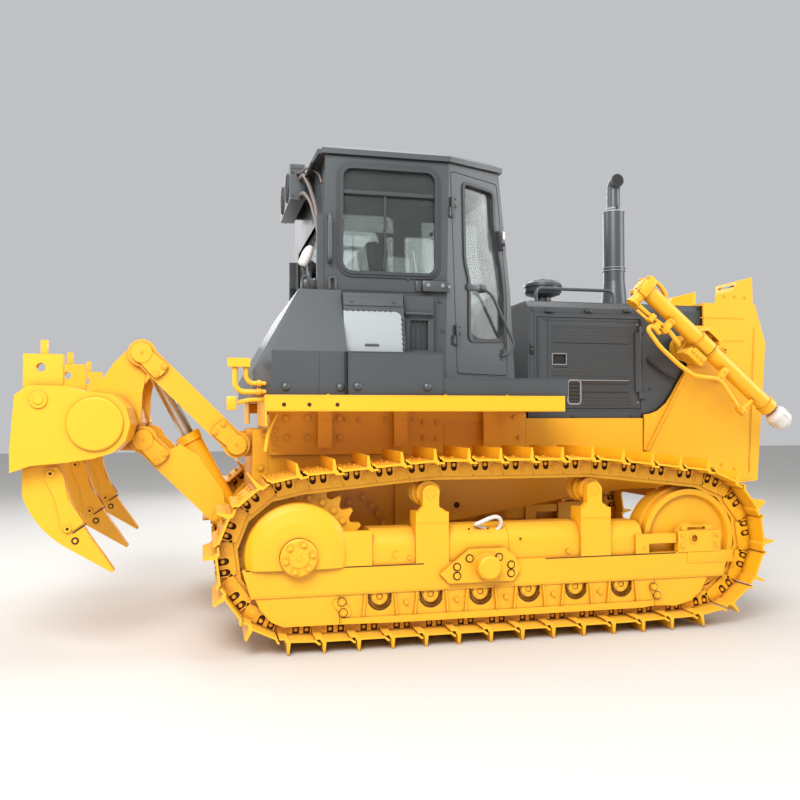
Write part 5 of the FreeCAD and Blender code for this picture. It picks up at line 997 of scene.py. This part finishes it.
class DOZER_OT_hood(bpy.types.Operator):
    """Add hooks, seams, bolts and latches to the hood, with a painted shadow under each hook, and louvres to its
    doors
    """

    bl_idname = "dozer.hood"
    bl_label = "Hood and its doors"

    def execute(self, context):
        sizes = context.scene.dozer_fasteners
        small, seam = sizes.small_bolt / MM, sizes.seam / MM
        wall = facing((0, -HOOD_HALF, 0))
        bm, dark = bmesh.new(), bmesh.new()
        for x, z in ((888, 2247), (1208, 2256), (1536, 2265)):
            add_block(bm, facing((x, -HOOD_HALF, z)), (56, 15, 22), 4)
            add_round(bm, facing((x, -574, z + 8)), 12, 10, sides=12)
            # Dark strip under the hook: painted shadow
            add_block(dark, facing((x + 6, -560.2, z - 14)), (72, 10, 2))
        add_plate(bm, wall, rect(735, 2240, 2080, 2246), 3)
        for x, z in ((1085, 1457), (1577, 1457), (1725, 1914), (1732, 1666), (760, 2262)):
            add_bolt(bm, facing((x, -HOOD_HALF, z)), small * 1.15)
        add_plate(dark, wall, rect(737, 1706, 737 + seam, 2230), 1)
        add_plate(dark, wall, rect(772, 1706, 776, 2236), 1)
        add_plate(bm, wall, rect(735, 1495, 1650, 1502), 3)
        for z in (1985, 1955):
            add_round(bm, facing((752, -HOOD_HALF, z)), 13, 22, 10, sides=14)
        add_block(dark, facing((752, -HOOD_HALF, 1935)), (28, 26, 14), 3)
        add_tube(bm, ((740, -545, 2322), (2170, -545, 2322)), 3, sides=6)
        make_piece("hood_fittings", both_sides(bm), "grey enamel")
        make_piece("hood_seams_and_hook_shadows", both_sides(dark), "black rubber")
        top = bmesh.new()
        for x in (760, 1900, 2140):
            add_plate(top, level((x, 0, HOOD_TOP)), rect(-500, -3, 500, 3), 2)
        add_plate(top, level((1400, 190, HOOD_TOP)), rect(-90, -130, 90, 130), 4, 24)
        add_lathe(top, facing((1500, 330, HOOD_TOP), (0, 0, 1)),
                  ((0, 0), (0, 44), (26, 44), (34, 38), (36, 0)), 24)
        make_piece("hood_top_plates", top, "grey enamel")
        for side in ("right", "left"):
            fins, trim, shade = bmesh.new(), bmesh.new(), bmesh.new()
            for k in range(22):
                z = 1538 + k * 28
                x0, x1 = (1040 if 1800 < z < 1925 else 915), 1568
                if z > 2180:
                    continue
                add_plate(fins, facing((0, -HOOD_HALF, z), (0, -0.92, -0.39)), rect(x0, 0, x1, 11), 2.2)
            add_plate(fins, wall, rect(812, 1527, 1640, 2190), 4, 12, 9)
            add_plate(fins, wall, rect(884, 1527, 890, 2190), 4)
            add_plate(trim, facing((0, -HOOD_HALF, 0)), rect(914, 1842, 1036, 1932), 6, 8, 8)
            add_block(shade, facing((975, -547, 1887)), (104, 68, 2))
            add_plate(trim, wall, rect(1036, 1542, 1154, 1735), 7, 30, 13)
            add_plate(shade, wall, rect(1050, 1556, 1140, 1721), 3, 24)
            add_plate(trim, facing((0, -HOOD_HALF, 0)), rect(1144, 1724, 1548, 1733), 9)
            add_tube(shade, ((1649, -572, 1735), (1649, -572, 2199)), 7, sides=8)
            for z in (1560, 1700, 2000, 2160):
                add_bolt(trim, facing((1625, -HOOD_HALF, z)), small * 0.8)
            make_sided(side, "hood_door", (("hood_louvres", fins, "grey enamel", "grey_paint"),
                                           ("hood_door_trim", trim, "bright steel", "grey_paint"),
                                           ("hood_door_shade", shade, "black rubber", "black_trim")))
        return {"FINISHED"}


class DOZER_OT_nose(bpy.types.Operator):
    """Add bolts, creases and clamps to the radiator guard, and lenses to its lamps"""

    bl_idname = "dozer.nose"
    bl_label = "Nose and lamps"

    def execute(self, context):
        sizes = context.scene.dozer_fasteners
        bolt, small = sizes.hull_bolt / MM, sizes.small_bolt / MM
        bm, dark = bmesh.new(), bmesh.new()
        wall = facing((0, -GUARD_HALF, 0))
        for x, z in ((2234, 2123), (2357, 1976), (2100, 1948), (2481, 1812)):
            add_bolt(bm, facing((x, -GUARD_HALF, z)), bolt * 1.2)
            # Dark dot on the bolt head: painted shade
            add_round(dark, facing((x, -617, z)), 8, 2, sides=10)
        for x0, x1, z in ((2147, 2549, 2225), (2251, 2538, 2048)):
            add_plate(bm, wall, rect(x0, z, x1, z + 5), 3)
        add_plate(bm, wall, ((2566, 1010), (2572, 1010), (2632, 2160), (2626, 2160)), 3)
        add_plate(dark, wall, ((2574, 1010), (2577, 1010), (2636, 2160), (2633, 2160)), 1)
        for x, z in ((1800, 1120), (1858, 1118), (2195, 1120), (2330, 1075), (2440, 1040), (2010, 1110)):
            add_bolt(bm, facing((x, -GUARD_HALF, z)), small)
        add_plate(bm, wall, ((2300, 930), (2600, 955), (2600, 962), (2300, 937)), 3)
        add_block(bm, facing((2310, -GUARD_HALF, 1747)), (66, 32, 30), 5)
        front = facing((2648, 0, 945), (0.997, 0, -0.0774))
        for y in (-1, 1):
            add_plate(bm, front, rect(y * 560 - 4, 120, y * 560 + 4, 1060), 3)
            for k in range(5):
                add_bolt(bm, shifted(front, y * 520, 150 + k * 165), bolt)
        for k in range(5):
            add_bolt(bm, shifted(front, -400 + k * 200, 78), bolt)
        add_block(bm, facing((2690, -250, 860), (1, 0, 0)), (60, 90, 40), 6)
        add_block(bm, facing((2690, 250, 860), (1, 0, 0)), (60, 90, 40), 6)
        add_plate(bm, level((0, 0, 2345)), rect(-150, 2400, 150, 2560),
                  5, 20)
        lining = bmesh.new()
        edge = ((1640, 1452), (1714, 1462), (1790, 1486), (1866, 1544), (1924, 1626), (1974, 1710), (2022, 1782),
                (2066, 1876), (2110, 1990), (2110, 2150), (2250, 2150), (2250, 2318), (2150, 2318), (2150, 2190),
                (2068, 2190), (2068, 2006), (2024, 1892), (1982, 1802), (1932, 1732), (1882, 1650), (1830, 1576),
                (1768, 1526), (1706, 1502), (1640, 1494))
        add_plate(lining, facing((0, -548, 0)), edge, 5)
        make_piece("guard_lining", both_sides(lining), "dark grey enamel")
        hose = bmesh.new()
        add_tube(hose, ((1712, -556, 1905), (1720, -580, 1880), (1760, -600, 1830), (1830, -606, 1785),
                        (1930, -600, 1745)), 11, 50)
        make_piece("hood_hose", hose, "black rubber")
        rims, lens = bmesh.new(), bmesh.new()
        for y in (-390, 390):
            lamp = facing((2590, y, 2450), (1, 0, 0))
            add_lathe(lens, lamp, ((0, 0), (0, 68), (6, 68), (12, 50), (15, 0)), 30)
            add_ring(rims, lamp, 66, 76, 10, 30)
            for k in range(3):
                add_bolt(bm, shifted(facing((2470, y / 390 * 600, 2400), (0, y, 0)), -100 + k * 90, 0), small)
            add_tube(bm, ((2612, y - 204, 2352), (2610, y - 204, 2556)), 4, sides=6)
        make_piece("nose_bolts", bm, "yellow enamel")
        make_piece("nose_painted_shade_and_seam", dark, "dark pocket")
        make_piece("lamp_rims", rims, "black rubber")
        make_piece("lamp_lenses", lens, "lamp lens")
        return {"FINISHED"}


class DOZER_OT_exhaust(bpy.types.Operator):
    """Add bands, clamps and rims to the exhaust, and the bowl's seams to the pre-cleaner"""

    bl_idname = "dozer.exhaust"
    bl_label = "Exhaust and pre-cleaner"

    def execute(self, context):
        small = context.scene.dozer_fasteners.small_bolt / MM
        bm, dark = bmesh.new(), bmesh.new()
        up = (0, 0, 1)
        bands = bmesh.new()
        for z in (2672, 2698):
            add_ring(bands, facing((STACK_X, 0, z), up), 90, 96, 5, 40)
        add_ring(bands, facing((STACK_X, 0, 3170), up), 84, 92, 10, 40)
        add_ring(bands, facing((STACK_X, 0, 3196), up), 52, 60, 14, 32)
        make_piece("muffler_bands", bands, "pale panel")
        add_block(bm, facing((STACK_X, -60, 3208), (0, -1, 0)), (20, 20, 16), 3)
        add_ring(bm, facing((STACK_X, 0, 2326), up), 90, 122, 10, 36)
        for k in range(8):
            turn = math.radians(45 * k + 20)
            add_bolt(bm, facing((STACK_X + 112 * math.cos(turn), 112 * math.sin(turn), 2336), up), small)
        add_round(dark, facing((STACK_X, -79, 3427)), 49, 2, sides=32)
        for z in (2473, 2509):
            add_ring(bm, facing((CLEANER_X, 0, z), up), 148, 155, 5, 40)
        for k in range(18):
            turn = math.radians(20 * k)
            at = (CLEANER_X + 128 * math.cos(turn), 128 * math.sin(turn), 2560)
            add_block(dark, facing(at, (0.5 * math.cos(turn), 0.5 * math.sin(turn), 1)), (5, 5, 4))
        add_ring(bm, facing((CLEANER_X, 0, 2400), up), 60, 68, 22, 28)
        add_block(bm, facing((CLEANER_X, -66, 2411), (0, -1, 0)), (16, 26, 14), 3)
        add_lathe(bm, facing((CLEANER_X, 0, 2576), up), ((0, 0), (0, 20), (8, 20), (14, 10), (15, 0)), 18)
        make_piece("exhaust_bands", bm, "grey enamel")
        make_piece("exhaust_mouth", dark, "black rubber")
        return {"FINISHED"}


# Hydraulics


class DOZER_OT_lift(bpy.types.Operator):
    """Add heads, clamps, pipes and ties to the blade's lift cylinders"""

    bl_idname = "dozer.lift"
    bl_label = "Lift cylinder fittings"

    def execute(self, context):
        small = context.scene.dozer_fasteners.small_bolt / MM
        start = Vector(on_lift(0, 0, 0))
        along, off = Vector(on_lift(1, 0, 0)) - start, Vector(on_lift(0, 1, 0)) - start
        for side in ("right", "left"):
            bm, ties = bmesh.new(), bmesh.new()
            head = facing(on_lift(-664, 0, LIFT_Y), -along, (0, -1, 0))
            add_block(bm, shifted(head, 0, 0, -70), (156, 156, 76), 14)
            for dx in (-56, 56):
                for dy in (-56, 56):
                    add_bolt(bm, shifted(head, dx, dy, 6), small * 1.5)
            add_round(bm, head, 50, 16, 44, sides=24)
            port = facing(on_lift(-630, -60, LIFT_Y - 20), -off, along)
            add_round(bm, port, 42, 84, 38, sides=22)
            add_round(bm, shifted(port, 0, 0, 80), 50, 22, sides=22)
            for k in range(4):
                turn = math.radians(45 + 90 * k)
                add_bolt(bm, around(port, 36, turn, 102), small)
            knob = facing(on_lift(-620, 60, LIFT_Y), off, along)
            add_round(bm, knob, 36, 44, 30, sides=20)
            add_tube(bm, [on_lift(*p) for p in ((-612, 96, LIFT_Y), (-540, 104, LIFT_Y), (-470, 84, LIFT_Y),
                                                (-440, 50, LIFT_Y))], 17, 30)
            add_tube(bm, [on_lift(*p) for p in ((-600, -150, -950), (-440, -150, -960), (-330, -132, -962),
                                                (-210, -150, -962), (-170, -150, -940))], 17, 40)
            add_tube(bm, [on_lift(*p) for p in ((-590, -186, -955), (-430, -184, -968),
                                                (-350, -166, -968))], 11, 30)
            add_block(bm, facing(on_lift(-335, -120, -930), (0, -1, 0), off), (46, 120, 60), 8)
            add_block(bm, facing(on_lift(-470, -160, -930), (0, -1, 0), off), (40, 64, 62), 8)
            add_round(bm, facing(on_lift(-405, -178, -940), (0, -1, 0), off), 30, 46, 26, sides=16)
            for s in (-350, -320):
                add_bolt(bm, facing(on_lift(s, -80, -990), (0, -1, 0), off), small)
                add_bolt(bm, facing(on_lift(s, -160, -990), (0, -1, 0), off), small)
            add_tube(bm, [on_lift(*p) for p in ((-350, -205, -972), (-440, -205, -980), (-450, -250, -986),
                                                (-300, -285, -990), (-100, -286, -992), (40, -270, -994),
                                                (90, -240, -994), (190, -168, -990), (240, -150, -988),
                                                (300, -160, -984), (470, -196, -974), (520, -205, -960),
                                                (540, -150, -940), (560, -70, -930))], 16, 46)
            add_block(bm, facing(on_lift(225, -104, -940), (0, -1, 0), off), (44, 118, 56), 6)
            add_bolt(bm, facing(on_lift(225, -80, -996), (0, -1, 0), off), small)
            add_bolt(bm, facing(on_lift(225, -132, -996), (0, -1, 0), off), small)
            add_block(bm, facing(on_lift(524, -196, -930), (0, -1, 0), off), (74, 44, 56), 6)
            for s in (500, 548):
                add_bolt(bm, facing(on_lift(s, -196, -986), (0, -1, 0), off), small)
            crown = facing(on_lift(-20, -140, LIFT_Y - 60), (0, -1, 0), off)
            add_block(bm, shifted(crown, 0, 0, -40), (150, 66, 60), 10)
            for dx in (-46, 4, 50):
                add_bolt(bm, shifted(crown, dx, 12, 20), small * 1.4)
            for s in (-62, 62):
                ring = facing(on_lift(s, 0, LIFT_Y), along, (0, 1, 0))
                add_ring(bm, ring, 58, 74, 6, 32)
            ring = facing(on_lift(668, 0, LIFT_Y), along, (0, 1, 0))
            add_ring(bm, ring, 58, 70, 8, 32)
            upper = facing(on_lift(48, 132, LIFT_Y + 90), (0, -1, 0), off)
            add_block(bm, upper, (150, 52, 60), 10)
            for dx in (-50, 20):
                add_bolt(bm, shifted(upper, dx, 0, 60), small * 1.3)
            if side == "left":
                to_left(bm)
            make_piece("lift_fittings_" + side, bm, "yellow enamel", "lift_barrel_" + side)
            for s, radius in ((756, 46), (762, 52)):
                loop = facing(on_lift(s, 0, LIFT_Y), along, (0, 1, 0))
                add_ring(ties, loop, radius - 6, radius, 5, 24)
            for turn in (0.3, 1.4, 2.7, 3.6, 4.9, 5.6):
                c, s = math.cos(turn), math.sin(turn)
                add_tube(ties, [on_lift(a, r * c, LIFT_Y + r * s) for a, r in ((752, 44), (776, 64), (806, 79),
                                                                               (850, 80), (884, 76), (914, 52))],
                         3.5, 20, 6)
            if side == "left":
                to_left(ties)
            make_piece("bag_folds_" + side, ties, "packing film", "lift_rod_" + side, 60)
        return {"FINISHED"}


def pin_keeper(bm, pin, far, y):
    """Cover disc with a wedge plate along its link, whose two round lobes hold the bolts."""
    x, z = pin
    aim = math.atan2(far[1] - z, far[0] - x)
    place = facing((x, y, z)) @ Matrix.Rotation(aim, 4, "Z")
    add_round(bm, place, 70, 14, 66, sides=36)
    add_ring(bm, shifted(place, 0, 0, 14), 6, 11, 3, 16)
    lobes = [(172 * math.cos(a), 172 * math.sin(a)) for a in (math.radians(-13), math.radians(13))]
    add_plate(bm, place, ((20, -52), (160, -62), (196, -30), (196, 30), (160, 62), (20, 52)), 9, 10)
    for across, rise in lobes:
        add_round(bm, shifted(place, across, rise), 25, 18, 21, sides=20)
        add_round(bm, shifted(place, across, rise, 18), 12, 7, 11, sides=6)


class DOZER_OT_ripper(bpy.types.Operator):
    """Add pin keepers, protector pins and hoses to the ripper"""

    bl_idname = "dozer.ripper"
    bl_label = "Ripper details"

    def execute(self, context):
        arm, links, beam, bracket, dark = (bmesh.new() for _ in range(5))
        pin_keeper(arm, LOWER_PIN, ARM_PIN, KEEPER_Y)
        pin_keeper(arm, ARM_PIN, LOWER_PIN, KEEPER_Y)
        pin_keeper(links, UPPER_PIN, MAST_PIN, KEEPER_Y)
        pin_keeper(links, MAST_PIN, UPPER_PIN, KEEPER_Y)
        make_piece("arm_keepers", both_sides(arm), "yellow enamel", "ripper_arm")
        make_piece("link_keepers", both_sides(links), "yellow enamel", "ripper_links")
        # Dark discs in the pin holes and dark rings round the protector pins are painted shade
        for y in (-1005, 0, 1005):
            for face in (-1, 1):
                out = (0, face, 0)
                for x, z in ((-2524, 1115), (-2426, 783)):
                    add_round(beam, facing((x, y + face * 44, z), out), 26, 10, 22, sides=20)
                    add_round(dark, facing((x, y + face * 54, z), out), 9, 2, sides=12)
                side = facing((0, y + face * 38, 0), out)
                add_plate(dark, side, [(face * -1 * x, z) for x, z in
                          ((-2401, 757), (-2394, 753), (-2327, 798), (-2335, 804))], 2)
                add_plate(beam, side, [(face * -1 * x, z) for x, z in
                          ((-2556, 1150), (-2480, 1156), (-2452, 1100), (-2424, 960), (-2334, 818), (-2394, 772),
                           (-2456, 770), (-2496, 957), (-2552, 1080))], 8, 12)
                add_round(dark, facing((-2383, y + face * 38, 709), out), 22, 3, sides=18)
                add_round(beam, facing((-2383, y + face * 38, 709), out), 12, 6, sides=12)
        for side in (-1, 1):
            add_round(beam, facing((-2577, side * 1148, 1556), (0, side, 0)), 53, 14, 49, sides=28)
            add_round(beam, facing((-2577, side * 1162, 1556), (0, side, 0)), 30, 8, 26, sides=24)
        make_piece("beam_details", beam, "yellow enamel", "ripper_beam")
        make_piece("shank_hole_shade", dark, "dark pocket", "ripper_beam")
        for x, z in ((-1250, 900), (-1250, 1100), (-1250, 700), (-1220, 1330)):
            add_bolt(bracket, facing((x, -550, z)), 18)
        block = level((-1467, -1147, 1496))
        add_block(bracket, block, (56, 60, 84), 6)
        for x in (-1290, -1300):
            add_ring(bracket, facing((x, -1147, 1608), (-1, 0, 0)), 17, 24, 14, 20)
            add_ring(bracket, facing((x, -1147, 1661), (-1, 0, 0)), 15, 22, 12, 20)
        add_tube(bracket, ((-1272, -1150, 1560), (-1360, -1150, 1560), (-1430, -1147, 1540)), 14, 30)
        add_tube(bracket, ((-1195, -1170, 1470), (-1245, -1175, 1360), (-1262, -1175, 1240)), 12, 60)
        make_piece("rear_fittings", bracket, "yellow enamel")
        return {"FINISHED"}


class DOZER_OT_stage(bpy.types.Operator):
    """Set up the floor, the soft lights and the camera"""

    bl_idname = "dozer.stage"
    bl_label = "Studio"

    def execute(self, context):
        studio = context.scene.dozer_studio
        bm = bmesh.new()
        bmesh.ops.create_grid(bm, x_segments=1, y_segments=1, size=studio.floor_size / 2)
        mesh = bpy.data.meshes.new("studio_floor")
        bm.to_mesh(mesh)
        bm.free()
        floor = bpy.data.objects.new("studio_floor", mesh)
        mesh.materials.append(plain_material("floor paint", studio.floor_colour, 0.75))
        context.scene.collection.objects.link(floor)
        lights = (("key", (-3.5, -7.5, 7.5), 6.0, studio.key_power),
                  ("rear", (-8.0, 2.0, 4.5), 5.0, studio.fill_power),
                  ("front", (8.5, -3.0, 4.5), 5.0, studio.fill_power),
                  ("top", (0.5, 1.0, 8.5), 7.0, studio.fill_power),
                  ("far", (1.0, 8.5, 5.0), 6.0, studio.fill_power))
        aim = Vector((0, 0, 1.3))
        for name, place, size, power in lights:
            light = bpy.data.lights.new("light_" + name, "AREA")
            light.shape = "DISK"
            light.size = size
            light.energy = power
            lamp = bpy.data.objects.new("light_" + name, light)
            lamp.location = place
            lamp.rotation_mode = "QUATERNION"
            lamp.rotation_quaternion = (aim - Vector(place)).to_track_quat("-Z", "Y")
            context.scene.collection.objects.link(lamp)
        world = bpy.data.worlds.new("Studio surroundings")
        world.use_nodes = True
        sky = world.node_tree.nodes["Background"]
        sky.inputs["Color"].default_value = (0.95, 0.97, 1.0, 1)
        sky.inputs["Strength"].default_value = studio.sky
        context.scene.world = world
        context.scene.view_settings.view_transform = "Standard"
        camera = bpy.data.cameras.new("Camera")
        camera.sensor_fit = "HORIZONTAL"
        camera.sensor_width = 36
        camera.lens = studio.lens
        eye = bpy.data.objects.new("Camera", camera)
        eye.location = studio.camera_place
        yaw, pitch = studio.camera_yaw, studio.camera_pitch
        view = Vector((math.sin(yaw) * math.cos(pitch), math.cos(yaw) * math.cos(pitch), math.sin(pitch)))
        turn = view.to_track_quat("-Z", "Y") @ Matrix.Rotation(studio.camera_roll, 3, "Z").to_quaternion()
        eye.rotation_mode = "QUATERNION"
        eye.rotation_quaternion = turn
        context.scene.collection.objects.link(eye)
        context.scene.camera = eye
        return {"FINISHED"}


STEPS = (DOZER_OT_finishes, DOZER_OT_links, DOZER_OT_shoe_bolts, DOZER_OT_wheels, DOZER_OT_frames, DOZER_OT_hull,
         DOZER_OT_tread, DOZER_OT_tank, DOZER_OT_cab, DOZER_OT_cab_doors, DOZER_OT_cooler, DOZER_OT_seat,
         DOZER_OT_hood, DOZER_OT_nose, DOZER_OT_exhaust, DOZER_OT_lift, DOZER_OT_ripper, DOZER_OT_stage)


class DOZER_PT_panel(bpy.types.Panel):
    """Sidebar list of the bulldozer's settings and steps"""

    bl_idname = "DOZER_PT_panel"
    bl_label = "Crawler bulldozer"
    bl_space_type = "VIEW_3D"
    bl_region_type = "UI"
    bl_category = "Bulldozer"

    def draw(self, context):
        scene = context.scene
        for settings in (scene.dozer_paint, scene.dozer_fasteners, scene.dozer_studio):
            box = self.layout.box()
            for name in settings.__annotations__:
                box.prop(settings, name)
        for step in STEPS:
            self.layout.operator(step.bl_idname)


CLASSES = (DozerPaint, DozerFasteners, DozerStudio, *STEPS, DOZER_PT_panel)


def register():
    for item in CLASSES:
        bpy.utils.register_class(item)
    bpy.types.Scene.dozer_paint = PointerProperty(type=DozerPaint)
    bpy.types.Scene.dozer_fasteners = PointerProperty(type=DozerFasteners)
    bpy.types.Scene.dozer_studio = PointerProperty(type=DozerStudio)


def unregister():
    del bpy.types.Scene.dozer_studio
    del bpy.types.Scene.dozer_fasteners
    del bpy.types.Scene.dozer_paint
    for item in reversed(CLASSES):
        bpy.utils.unregister_class(item)


def main():
    register()
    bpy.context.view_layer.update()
    for step in STEPS:
        group, name = step.bl_idname.split(".")
        getattr(getattr(bpy.ops, group), name)()


if __name__ == "__main__":
    main()
